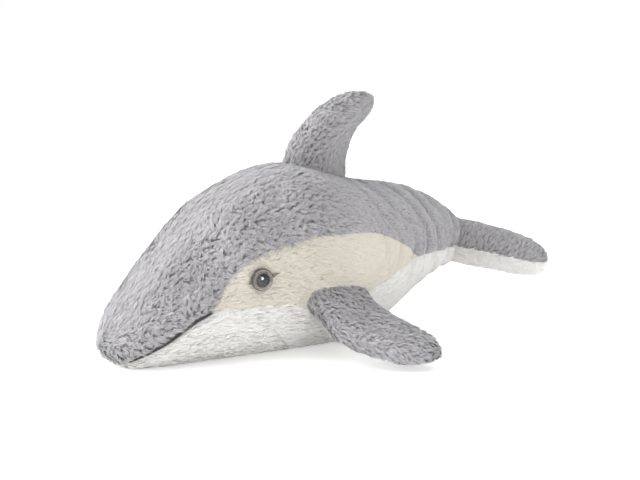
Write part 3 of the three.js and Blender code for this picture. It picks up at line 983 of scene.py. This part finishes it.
@dataclass
class BodyCover:
    """The body's five panels of plush, from the nose to the end of the tail stem.

    Towards the tail the pile thins and settles: it loses a share of its length, sleek, and its ruffle. On
    the head it lies sleek within the crown's distance of the middle.
    """

    cloths: dict[str, Cloth]
    blades: list[Blade]
    columns: int = 190
    rows: int = 136
    end: float = 424.5
    pile_depth: float = 3.1
    mouth_gap: float = 2.2
    eye_radius: float = 10.8
    head_end: float = 165.0
    stem_end: float = 383.0
    sleek: float = 0.45
    thins: tuple[float, float] = (200.0, 275.0)
    settles: tuple[float, float] = (185.0, 265.0)
    crown: tuple[float, float] = (14.0, 44.0)
    swing: tuple[float, float] = (302.0, 381.0)
    creases: Creases = Creases()

    def __post_init__(self) -> None:
        """Finds the eyes and lays out the whole surface."""
        self.eyes = [FORM.point(EYE_AT[0], side * EYE_AT[1], self.pile_depth) for side in SIDES.values()]
        self.sheet = tube_sheet(self.columns, self.rows, self.place)

    def place(self, along: np.ndarray, around: np.ndarray) -> np.ndarray:
        """Points of the cloth under the pile, closer together at the nose."""
        x = 0.02 + (self.end - 0.02) * (0.35 * along + 0.65 * along ** 1.6)
        angle = 360 * around - 180
        return FORM.point(x, angle, self.depth(x, angle))

    def depth(self, x: np.ndarray, angle: np.ndarray) -> np.ndarray:
        """Depth of the cloth: seams are drawn in and the rear is folded.

        Args:
            x: Distances from the nose.
            angle: Angles in degrees from the back seam.

        Returns:
            Depths below the pile's surface.
        """
        plain = FORM.point(x, angle)
        height = plain[:, 2]
        behind = x > FORM.mouth_back
        seam = hump(height - FORM.height_line(x, True), 1.3, 4)
        seam += hump(height - FORM.height_line(x, False), 1.3, 4) * behind
        spine = hump(plain[:, 1], 1.6, 3.5) * (np.abs(angle) < 60) * smooth_step(4, 40, x)
        mouth = hump(height - FORM.mouth(x), 1.8, 3) * ~behind * (x > 8)
        nose = 1.6 * (1 - smooth_step(5, 40, x))
        pulls = seam * (x > 14) + spine + mouth - nose
        return self.pile_depth - 0.9 * smooth_step(*self.thins, x) + pulls + self.creases.depth(x, angle)

    def from_eye(self, places: np.ndarray) -> np.ndarray:
        """Distance from the nearer eye."""
        return np.min([np.linalg.norm(places - eye, axis=1) for eye in self.eyes], axis=0)

    @staticmethod
    def panel_of(places: np.ndarray) -> np.ndarray:
        """Number of the panel at each place."""
        x, left, height = places[:, 0], places[:, 1] < 0, places[:, 2]
        grey = (height > FORM.height_line(x, True)) | (x < FORM.mouth_front)
        white = height <= FORM.height_line(x, False)
        return np.where(grey, np.where(left, 0, 1), np.where(white, 4, np.where(left, 2, 3)))

    def build(self) -> None:
        """Makes the cloth and the pile of each panel, ahead of the flukes."""
        middle = self.sheet.middles()
        kind = self.panel_of(middle)
        for number, panel in enumerate(Panel):
            kind_of_cloth, *nodes = panel.value
            cloth = self.cloths[kind_of_cloth]
            name = panel.name.lower()
            keep = (kind == number) & (middle[:, 0] < self.stem_end + 2)
            made = cloth_piece(f"{name}_cloth", self.sheet, keep, cloth.backing_material)
            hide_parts(*nodes)
            self.attach(made, cloth, kind_of_cloth != "cream")
            stretches = [("_front", 0, self.head_end), ("_rear", self.head_end, self.stem_end)]
            if kind_of_cloth == "cream":
                stretches = [("", 0, self.stem_end)]
            for part, (label, start, end) in enumerate(stretches):
                pile = replace(cloth.style, seed=11 + 2 * number + part)
                ground = BodyGround(self, number, start, end)
                made = pile.grow(f"{name}_pile{label}", self.sheet, ground, cloth.pile_material)
                self.attach(made, cloth, label == "_rear")

    def attach(self, piece: bpy.types.Object, cloth: Cloth, bends: bool) -> None:
        """Bakes a piece's transform where it would bend with the tail, or lets it ride on the torso."""
        if bends:
            self.bend(piece)
        else:
            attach(piece, "torso")

    def bend(self, piece: bpy.types.Object) -> None:
        """Bakes a piece's transform into its mesh."""
        start, end = (frame_point(x, 0, 90) for x in self.swing)
        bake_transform(piece)


def frame_point(x: float, y: float, z: float) -> tuple[float, float, float]:
    """A point in metres in the model's frame from millimetres from the nose."""
    return ((x - NOSE_TO_ORIGIN) * MM, y * MM, z * MM)


# ------------------------------------------------------------------------------ fins


@dataclass(frozen=True)
class Blade:
    """A padded fin: chords along a span, from a hinge line that lies on the body."""

    hinge: tuple[float, float, float]
    chordwise: tuple[float, float, float]
    spanwise: tuple[float, float, float]
    rows: tuple[tuple[float, float, float, float], ...]
    inset: float = 2.2
    trim: float = 0.0
    both_ways: bool = False
    droop: float = 0.0
    droop_start: float = 30.0
    rounding: float = 2.5
    taper: float = 2.4

    def axes(self) -> tuple[np.ndarray, ...]:
        """Chordwise, spanwise and thickness directions."""
        chord, span = np.array(self.chordwise), np.array(self.spanwise)
        return chord, span, np.cross(chord, span)

    def outline(self, span: np.ndarray, inset: float) -> tuple[np.ndarray, ...]:
        """Leading edge, trailing edge and half thickness at distances along the span.

        Args:
            span: Distances along the span.
            inset: How far inside the pile's surface.

        Returns:
            The three distances at each place.
        """
        table = np.array(self.rows)
        lead, rear, thick = (Curve(tuple(zip(table[:, 0], table[:, k])))(span) for k in (1, 2, 3))
        middle = (lead + rear) / 2
        edge = inset + self.trim
        lead, rear = np.minimum(lead + edge, middle - 0.5), np.maximum(rear - edge, middle + 0.5)
        return lead, rear, np.maximum(thick - inset, 0.3)

    def half(self, share: np.ndarray, lead: np.ndarray, rear: np.ndarray, thick: np.ndarray) -> np.ndarray:
        """Half thickness at a share of the chord: round in front, thinning behind.

        Args:
            share: Share of the chord.
            lead: Leading edge.
            rear: Trailing edge.
            thick: Half thickness where it is thickest.

        Returns:
            Half thicknesses.
        """
        nose = np.minimum(0.45, thick / (rear - lead))
        ahead = 1 - (1 - np.minimum(share / nose, 1)) ** 2
        behind = 1 - (np.maximum(share - nose, 0) / (1 - nose)) ** self.taper
        return thick * np.sqrt(np.maximum(0, np.where(share < nose, ahead, behind)))

    def place(self, along: np.ndarray, around: np.ndarray) -> np.ndarray:
        """Points of the cloth under the pile."""
        low, high = self.rows[0][0], self.rows[-1][0] - 0.7 * self.inset - self.trim
        span = (2 * along - 1) * high if self.both_ways else low + (high - low) * along
        lead, rear, thick = self.outline(np.abs(span) if self.both_ways else span, self.inset)
        share = (1 - np.cos(2 * math.pi * around)) / 2
        level = self.half(share, lead, rear, thick) * np.sign(0.5 - around)
        past = np.clip((np.abs(span) - high) / self.rounding + 1, 0, 1) * ((span > 0) | self.both_ways)
        opening = np.sqrt(1 - past * past)
        middle = (lead + rear) / 2
        chord = middle + (lead + (rear - lead) * share - middle) * opening
        return self.to_body(chord, span, level * opening)

    def to_body(self, chord: np.ndarray, span: np.ndarray, level: np.ndarray) -> np.ndarray:
        """Points in millimetres from the nose for local ones."""
        level = level - self.droop * np.maximum(0, np.abs(span) - self.droop_start)
        chord_axis, span_axis, up = self.axes()
        return (np.array(self.hinge) + chord[:, None] * chord_axis + span[:, None] * span_axis
                + level[:, None] * up)

    def local(self, places: np.ndarray) -> tuple[np.ndarray, ...]:
        """Chordwise, spanwise and thickness distances of places."""
        away = places - np.array(self.hinge)
        chord, span, level = (away @ axis for axis in self.axes())
        return chord, span, level + self.droop * np.maximum(0, np.abs(span) - self.droop_start)

    def inside(self, places: np.ndarray, margin: float) -> np.ndarray:
        """Whether places lie inside the blade by more than a margin.

        Args:
            places: Places in millimetres.
            margin: How far inside counts.

        Returns:
            True where they do.
        """
        chord, span, level = self.local(places)
        reach = np.abs(span) if self.both_ways else span
        lead, rear, thick = self.outline(reach, margin)
        share = np.clip((chord - lead) / (rear - lead), 0, 1)
        within = (chord > lead) & (chord < rear) & (reach < self.rows[-1][0]) & (reach > self.rows[0][0])
        return within & (np.abs(level) < self.half(share, lead, rear, thick))

    def brush(self, run: np.ndarray, turn: np.ndarray) -> np.ndarray:
        """Pile laid outwards along the span and back along the chord."""
        chord, span, _ = self.axes()
        if self.both_ways:
            return np.tile(chord, (len(run), 1)) + 0.45 * run * np.sign(run @ span)[:, None]
        return run * 0.85 + chord * 0.35

    def sheet(self, along: int = 96, around: int = 96) -> Sheet:
        """The whole surface of the cloth."""
        return tube_sheet(along, around, self.place, self.brush)


@dataclass
class BladeGround(Ground):
    """The pile on one face of a blade, more ruffled in front than behind."""

    blade: Blade
    top: bool
    side: int = 0
    ruffled: tuple[float, float] = (0.65, 0.6)

    def faces(self, places: np.ndarray) -> np.ndarray:
        """Whether places are on this face, and on this side where one is asked for."""
        _, span, level = self.blade.local(places)
        out = (level >= 0) == self.top
        return out if self.side == 0 else out & (np.sign(span + 1e-6) == self.side)

    def keep(self, root: np.ndarray) -> np.ndarray:
        """Only on this face and outside the body."""
        return self.faces(root) & ~FORM.inside(root, 7.0)

    def rough(self, root: np.ndarray) -> np.ndarray:
        """From one value at the leading edge to the other at the trailing edge."""
        chord, span, _ = self.blade.local(root)
        lead, rear, _ = self.blade.outline(np.abs(span), 0.0)
        share = smooth_step(0.35, 0.7, (chord - lead) / (rear - lead))
        return self.ruffled[0] + (self.ruffled[1] - self.ruffled[0]) * share

    def length(self, root: np.ndarray) -> np.ndarray:
        """Short pile, shorter still at the tip."""
        _, span, _ = self.blade.local(root)
        return 0.86 - 0.3 * smooth_step(0.8, 1, np.abs(span) / self.blade.rows[-1][0])


FIN_SLOPE = math.radians(11.5)
DORSAL = Blade((242, 0, 192), (math.cos(FIN_SLOPE), 0, -math.sin(FIN_SLOPE)),
               (math.sin(FIN_SLOPE), 0, math.cos(FIN_SLOPE)),
               ((-22, -38, 42, 12.5), (-13, -36, 40, 12), (0, -34, 38, 12), (15, -28, 39, 13),
                (32, -17, 44, 12.5), (46, -5, 54, 11.5), (57, 9, 60, 10), (65, 24, 59, 8), (70, 37, 54, 4.5),
                (72, 45, 47, 1)), trim=2.0)
FLIPPER_FALL = math.radians(26)
FLIPPERS = {side: Blade((220, -91 * side, 53), (1, 0, 0),
                        (0, -side * math.cos(FLIPPER_FALL), -math.sin(FLIPPER_FALL)),
                        ((-25, -41, 41, 15), (-12, -39, 38, 12.5), (0, -37, 37, 11), (28, -37, 46, 11.5),
                         (50, -28, 59, 11.5), (70, -8, 68, 10), (84, 10, 65, 8.5), (90, 24, 59, 6.5),
                         (94, 36, 52, 4.5), (96, 43, 45, 1)), trim=3.8)
            for side in SIDES.values()}
FLUKES = Blade((405, 0, 90), (1, 0, 0), (0, 1, 0),
               ((0, -21, 34, 22), (30, -20, 42, 22), (52, -5, 50, 21.5), (80, 14, 56, 20),
                (98, 27, 57, 17.5), (105, 33, 56, 14.5), (109, 39, 53, 9), (111, 45, 48, 1)),
               both_ways=True, droop=0.16)


@dataclass
class HingedFin:
    """A dorsal fin or flipper: two skins sewn at the edge, growing out of the body."""

    blade: Blade
    body: str
    cloth: Cloth
    skins: dict[str, bool]
    ruffled: tuple[float, float] = (0.65, 0.6)
    bend: tuple[float, float] = (-13.0, 16.0)
    seed: int = 40

    def build(self) -> None:
        """Makes both skins and their pile, and bakes their transforms."""
        sheet = self.blade.sheet()
        hinge, span = np.array(self.blade.hinge), self.blade.axes()[1]
        start, end = (frame_point(*(hinge + span * reach)) for reach in self.bend)
        for number, (skin, top) in enumerate(self.skins.items()):
            ground = BladeGround(self.blade, top, ruffled=self.ruffled)
            keep = ground.faces(sheet.middles())
            cloth = cloth_piece(f"{skin}_cloth", sheet, keep, self.cloth.backing_material)
            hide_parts(skin)
            pile = replace(self.cloth.style, seed=self.seed + number, tone=0.5)
            strands = pile.grow(f"{skin}_pile", sheet, ground, self.cloth.pile_material)
            for piece in (cloth, strands):
                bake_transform(piece)


@dataclass
class TailFlukes:
    """The flukes and the end of the stem that they are sewn to."""

    cover: BodyCover
    cloths: dict[str, Cloth]
    ruffled: tuple[float, float] = (0.45, 0.35)
    nod: tuple[float, float] = (384.0, 424.0)

    def build(self) -> None:
        """Makes each lobe's two skins and the stem's end in front of them."""
        sheet = FLUKES.sheet(180, 96)
        for name, side in SIDES.items():
            for face, kind, top in (("top", "grey", True), ("underside", "white", False)):
                cloth = self.cloths[kind]
                skin = f"fluke_{face}_{name}"
                ground = FlukeGround(FLUKES, top, -side, self.ruffled)
                keep = ground.faces(sheet.middles())
                made = cloth_piece(f"{skin}_cloth", sheet, keep, cloth.backing_material)
                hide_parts(skin)
                pile = replace(cloth.style, seed=60 + 2 * side + top, tone=0.1 if top else 0.5)
                self.attach(made, cloth)
                self.attach(pile.grow(f"{skin}_pile", sheet, ground, cloth.pile_material), cloth)
        self._stem_end()

    def _stem_end(self) -> None:
        """The last of the stem, between the body's panels and the flukes."""
        sheet = self.cover.sheet
        middle = sheet.middles()
        grey = self.cover.panel_of(middle) < 2
        for name, kind, keep in (("top", "grey", grey), ("underside", "white", ~grey)):
            cloth = self.cloths[kind]
            behind = middle[:, 0] > self.cover.stem_end - 2
            made = cloth_piece(f"stem_end_{name}_cloth", sheet, keep & behind, cloth.backing_material)
            self.attach(made, cloth)
            pile = replace(cloth.style, seed=70 + len(kind))
            ground = StemEndGround(self.cover, kind == "grey")
            self.attach(pile.grow(f"stem_end_{name}_pile", sheet, ground, cloth.pile_material), cloth)

    def attach(self, piece: bpy.types.Object, cloth: Cloth) -> None:
        """Bakes a piece's transform into its mesh."""
        start, end = (frame_point(x, 0, 91) for x in self.nod)
        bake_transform(piece)


@dataclass
class FlukeGround(BladeGround):
    """The pile on one face of one lobe."""

    def keep(self, root: np.ndarray) -> np.ndarray:
        """Only on this face, and not inside the stem."""
        return self.faces(root) & ~FORM.inside(root, 6.0)


@dataclass
class StemEndGround(Ground):
    """The pile on the end of the stem."""

    cover: BodyCover
    grey: bool

    def keep(self, root: np.ndarray) -> np.ndarray:
        """Behind the body's panels and outside the flukes."""
        grey = self.cover.panel_of(root) < 2
        return (grey == self.grey) & (root[:, 0] >= self.cover.stem_end) & ~FLUKES.inside(root, 5.0)

    def rough(self, root: np.ndarray) -> np.ndarray:
        """Sleek."""
        return np.full(len(root), 0.05)

    def length(self, root: np.ndarray) -> np.ndarray:
        """Short."""
        return np.full(len(root), 1 - self.cover.sleek)


# ------------------------------------------------------------------------------ face


@dataclass
class MouthFold:
    """A fold of black cloth between the jaws, which shows as the line of the mouth."""

    material: bpy.types.Material
    front: float = 13.5
    back: float = 86.5
    radius: float = 1.8
    depth: float = 1.5

    def build(self) -> None:
        """Makes one fold on each side."""
        for name, side in SIDES.items():
            sheet = tube_sheet(90, 10, lambda along, around, side=side: self.place(along, around, side))
            made = make_object(f"mouth_lining_{name}", sheet.points, sheet.faces, self.material)
            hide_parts(f"mouth_fold_{name}")
            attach(made, "torso")

    def place(self, along: np.ndarray, around: np.ndarray, side: int) -> np.ndarray:
        """Points of a rounded fold that follows the mouth and tapers at both ends.

        Args:
            along: Share of its length.
            around: Share of the way round it.
            side: LEFT or RIGHT.

        Returns:
            Points in millimetres.
        """
        x = self.front + (self.back - self.front) * along
        thin = np.sqrt(np.maximum(0, 1 - (2 * along - 1) ** 6)) * (0.8 + 0.2 * along)
        turn = 2 * math.pi * around * side
        height = FORM.mouth(x) + self.radius * thin * np.sin(turn)
        line = FORM.on_side(x, height, side, self.depth * (0.4 + 0.6 * along))
        line[:, 1] -= side * self.radius * thin * np.cos(turn)
        return line


@dataclass
class SafetyEye:
    """A domed plastic eye: iris with its post, pupil and clear dome, with a stitched corner."""

    materials: dict[str, bpy.types.Material]
    radius: float = 11.0
    pupil: float = 6.4
    dome_radius: float = 14.8
    dome_height: float = 6.9
    post: float = 2.2
    sides: int = 72
    stitch_length: float = 9.5

    def build(self) -> None:
        """Makes both eyes."""
        for name, side in SIDES.items():
            frame = self.frame(side)
            rim, pupil = self.radius, self.pupil
            iris = [(0, -13), (self.post, -13), (self.post, 0.4), (rim - 0.5, 0.4), (rim, 0.9), (rim, 1.8),
                    (rim - 0.5, 2.4), (rim - 1.2, 2.6), (pupil, 2.6), (0, 2.6)]
            black = [(0, 2.85), (pupil - 0.2, 2.85), (pupil, 3.0), (pupil - 0.4, 3.3), (pupil * 0.6, 3.6),
                     (0, 3.75)]
            dome = [(0, 4.2), (pupil * 0.7, 3.95), (pupil + 1, 3.2), (rim - 1.6, 2.9), (rim - 0.8, 2.9)]
            ball, top = self.dome_radius, self.dome_height
            dome += [(ball * math.sin(a), top - ball * (1 - math.cos(a)))
                     for a in np.radians(np.arange(41, -1, -4))] + [(0, top)]
            for part, profile in (("iris", iris), ("pupil", black), ("dome", dome)):
                made = self.turned(f"{part}_{name}", profile, frame, self.materials[part])
                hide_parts(f"eye_{part}_{name}")
                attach(made, "torso")
            self._stitches(name, frame)

    def frame(self, side: int) -> Matrix:
        """Where an eye sits, with its Z axis looking out and its X axis towards the tail.

        Args:
            side: LEFT or RIGHT.

        Returns:
            The eye's place, which also turns millimetres into metres.
        """
        centre, turn, step = *EYE_AT, 2.0
        at = FORM.point(centre, side * turn)
        out = Vector(np.cross(FORM.point(centre + step, side * turn) - at,
                              FORM.point(centre, side * (turn + step)) - at)).normalized()
        if out.y * side > 0:
            out.negate()
        rear = Vector(FORM.point(centre + step, side * turn) - at)
        rear = (rear - out * rear.dot(out)).normalized()
        turned = Matrix((rear, out.cross(rear), out)).transposed().to_4x4()
        return Matrix.Translation(Vector(frame_point(*at))) @ turned @ Matrix.Scale(MM, 4)

    def turned(self, name: str, profile: list[tuple[float, float]], frame: Matrix,
               material: bpy.types.Material) -> bpy.types.Object:
        """Spins a profile round the eye's axis.

        Args:
            name: Object name.
            profile: Radius and height pairs in millimetres.
            frame: The eye's place.
            material: Its material.

        Returns:
            The object.
        """
        shape = bmesh.new()
        corners = [shape.verts.new((r, 0, h)) for r, h in profile]
        edges = [shape.edges.new(pair) for pair in zip(corners, corners[1:])]
        bmesh.ops.spin(shape, geom=corners + edges, cent=(0, 0, 0), axis=(0, 0, 1), angle=2 * math.pi,
                       steps=self.sides, use_merge=True)
        bmesh.ops.remove_doubles(shape, verts=shape.verts, dist=1e-3)
        bmesh.ops.recalc_face_normals(shape, faces=shape.faces)
        ring = [(math.hypot(v.co.x, v.co.y) / self.radius, math.atan2(v.co.y, v.co.x)) for v in shape.verts]
        bmesh.ops.transform(shape, matrix=frame, verts=shape.verts)
        for face in shape.faces:
            face.smooth = True
        mesh = bpy.data.meshes.new(name)
        shape.to_mesh(mesh)
        shape.free()
        mesh.materials.append(material)
        attribute = mesh.attributes.new("iris", "FLOAT_VECTOR", "POINT")
        number = np.rint(np.array(ring)[:, 1:] * self.sides / (2 * math.pi)).astype(int) * [1, 3, 7]
        values = np.stack([np.array(ring)[:, 0], scatter(number, 4), 0 * number[:, 0]], -1)
        attribute.data.foreach_set("vector", values.astype(np.float32).ravel())
        return link_mesh(f"eye_{name}", mesh)

    def _stitches(self, name: str, frame: Matrix) -> None:
        """Dark threads that draw the corners of the eye to a point, the longer one behind.

        Args:
            name: Which eye.
            frame: The eye's place.
        """
        shape = bmesh.new()
        for way, length, spread in ((1, self.stitch_length, 2.0), (-1, 4.4, 1.3)):
            for thread in range(9):
                share = thread / 4 - 1
                reach = self.radius + length * (1 - 0.35 * abs(share))
                foot = Vector((way * (self.radius - 0.9), share * spread, 0.6))
                tip = Vector((way * reach, share * 0.3, -0.4))
                run = tip - foot
                turned = run.to_track_quat("Z", "Y").to_matrix().to_4x4()
                place = Matrix.Translation((foot + tip) / 2) @ turned
                bmesh.ops.create_cone(shape, cap_ends=True, segments=8, radius1=0.55, radius2=0.22,
                                      depth=run.length, matrix=frame @ place)
        mesh = bpy.data.meshes.new(f"eye_stitching_{name}")
        shape.to_mesh(mesh)
        shape.free()
        mesh.materials.append(self.materials["thread"])
        made = link_mesh(f"eye_stitching_{name}", mesh)
        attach(made, "torso")


# ------------------------------------------------------------------------------ studio


@dataclass(frozen=True)
class Lamp:
    """One soft area lamp, aimed at the toy."""

    name: str
    place: tuple[float, float, float]
    size: float
    power: float
    glint: bool = False

    def build(self) -> None:
        """Hangs the lamp; a glint lamp only shows in glossy things."""
        data = bpy.data.lights.new(self.name, "AREA")
        data.energy = self.power
        data.size = self.size
        lamp = bpy.data.objects.new(self.name, data)
        lamp.location = self.place
        lamp.visible_diffuse = not self.glint
        lamp.rotation_euler = (Vector(self.place) - Vector((0, 0, 0.09))).to_track_quat("Z", "Y").to_euler()
        bpy.context.scene.collection.objects.link(lamp)


@dataclass(frozen=True)
class Studio:
    """Pale floor, soft light and the camera."""

    azimuth: float = -31.0
    elevation: float = 11.0
    distance: float = 1.65
    lens: float = 90.96
    shift: tuple[float, float] = (0.036, 0.038)
    target: tuple[float, float, float] = (-0.0108, 0.0, 0.08)
    floor_size: float = 6.0
    floor_glow: float = 0.35
    world_strength: float = 1.02
    lamps: tuple[Lamp, ...] = (Lamp("key", (-1.5, 0.4, 1.05), 1.2, 48.0),
                               Lamp("top", (0.2, -0.1, 1.7), 1.8, 10.0),
                               Lamp("fill", (-0.1, -1.4, 0.18), 0.28, 4.0),
                               Lamp("glint", (-0.16, -1.38, 0.24), 0.34, 30.0, True))

    def build(self) -> None:
        """Makes the camera, lights, floor and world."""
        self._camera()
        for lamp in self.lamps:
            lamp.build()
        world = bpy.data.worlds.new("studio")
        world.use_nodes = True
        feed(world.node_tree.nodes["Background"], {"Color": (1, 1, 1, 1), "Strength": self.world_strength})
        bpy.context.scene.world = world
        bpy.context.scene.view_settings.view_transform = "Standard"
        self._floor()

    def _camera(self) -> None:
        """Sets the camera."""
        turn, rise = math.radians(self.azimuth), math.radians(self.elevation)
        back = Vector((math.sin(turn) * math.cos(rise), -math.cos(turn) * math.cos(rise), math.sin(rise)))
        data = bpy.data.cameras.new("camera")
        data.lens = self.lens
        data.shift_x, data.shift_y = self.shift
        camera = bpy.data.objects.new("camera", data)
        camera.location = Vector(self.target) + back * self.distance
        camera.rotation_euler = back.to_track_quat("Z", "Y").to_euler()
        bpy.context.scene.collection.objects.link(camera)
        bpy.context.scene.camera = camera

    def _floor(self) -> None:
        """Lays a pale level floor."""
        shape = bmesh.new()
        bmesh.ops.create_grid(shape, x_segments=1, y_segments=1, size=self.floor_size)
        mesh = bpy.data.meshes.new("floor")
        shape.to_mesh(mesh)
        shape.free()
        made, _, shader = blank_material("floor_paper")
        feed(shader, {"Base Color": (0.92, 0.92, 0.92, 1), "Roughness": 0.9,
                      "Emission Color": (1, 1, 1, 1), "Emission Strength": self.floor_glow})
        mesh.materials.append(made)
        link_mesh("floor", mesh)


# ------------------------------------------------------------------------------ assembly


@dataclass
class Insides:
    """The stuffing and the lock washers, which the cloth covers."""

    nodes: dict[str, bpy.types.Object]
    cover: BodyCover
    give: float = 3.0

    def build(self) -> None:
        """Gives each piece its own material, and slims the stuffing where the cloth folds over it."""
        washer = moulded("washer_plastic", (0.72, 0.72, 0.7, 1)).material()
        kinds = {"stuffing": FIBRE.material(), "washer": washer}
        for name, piece in self.nodes.items():
            for kind, material in kinds.items():
                for place in piece.material_slots if kind in name else ():
                    place.material = material
        for name in ("body_stuffing", "tail_stuffing"):
            self._slim(name)

    def _slim(self, name: str) -> None:
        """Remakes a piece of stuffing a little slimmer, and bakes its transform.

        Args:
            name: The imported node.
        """
        packed = self.nodes[name]
        shape = bmesh.new()
        shape.from_mesh(packed.data)
        bmesh.ops.remove_doubles(shape, verts=shape.verts, dist=1e-6)
        bmesh.ops.recalc_face_normals(shape, faces=shape.faces)
        bmesh.ops.subdivide_edges(shape, edges=shape.edges, cuts=2, use_grid_fill=True)
        shape.normal_update()
        places = [corner.co - corner.normal * self.give * MM for corner in shape.verts]
        for corner, place in zip(shape.verts, places):
            corner.co = place
        mesh = bpy.data.meshes.new(f"{name}_filling")
        shape.to_mesh(mesh)
        shape.free()
        mesh.materials.clear()
        mesh.materials.append(packed.material_slots[0].material)
        made = link_mesh(f"{name}_filling", mesh)
        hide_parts(name)
        self.cover.bend(made)


def plush() -> dict[str, Cloth]:
    """The three kinds of plush, by colour."""
    cream = Pile(length=7.0, density=2.2, width=0.55, ruffle=0.45, lift=0.3, gather=0.12, sparkle=0.12)
    white = Pile(length=7.0, density=1.35, width=0.68, ruffle=0.2, lift=0.18, gather=0.05, sparkle=0.08)
    # each kind: pile style, painted shade at the roots, tip colour, tone spread and backing colour
    kinds = (
        ("grey", Pile(), (0.11, 0.108, 0.113, 1), (0.425, 0.417, 0.428, 1), 0.26, (0.32, 0.315, 0.32, 1)),
        ("cream", cream, (0.47, 0.44, 0.372, 1), (0.575, 0.542, 0.472, 1), 0.07, (0.57, 0.53, 0.46, 1)),
        ("white", white, (0.555, 0.545, 0.528, 1), (0.635, 0.626, 0.603, 1), 0.05, (0.66, 0.65, 0.63, 1)))
    return {name: Cloth(style, PileFinish(f"{name}_pile", root_shade, tip, spread),
                        backing(f"{name}_backing", knit), f"{name}_plush")
            for name, style, root_shade, tip, spread, knit in kinds}


def main() -> None:
    """Builds the toy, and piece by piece."""
    logging.basicConfig(level=logging.INFO, format="%(message)s")
    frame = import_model()
    Studio().build()
    cloths = plush()
    cover = BodyCover(cloths, [DORSAL, FLUKES, *FLIPPERS.values()])
    cover.build()
    HingedFin(DORSAL, "dorsal_fin", cloths["grey"],
              {"dorsal_fin_skin_left": True, "dorsal_fin_skin_right": False}, ruffled=(0.9, 0.15)).build()
    for name, side in SIDES.items():
        skins = {f"flipper_top_{name}": side == RIGHT, f"flipper_underside_{name}": side == LEFT}
        HingedFin(FLIPPERS[side], f"{name}_flipper", cloths["grey"], skins, seed=44 + 2 * side).build()
    TailFlukes(cover, cloths).build()
    MouthFold(LINING.material()).build()
    SafetyEye({"iris": IrisFinish().material(), "dome": ClearFinish().material(),
               "pupil": moulded("pupil_black", (0.006, 0.006, 0.006, 1), 0.6, 0.1).material(),
               "thread": moulded("eye_thread", (0.12, 0.108, 0.085, 1), 0.8).material()}).build()
    Insides(frame["nodes"], cover).build()


if __name__ == "__main__":
    main()
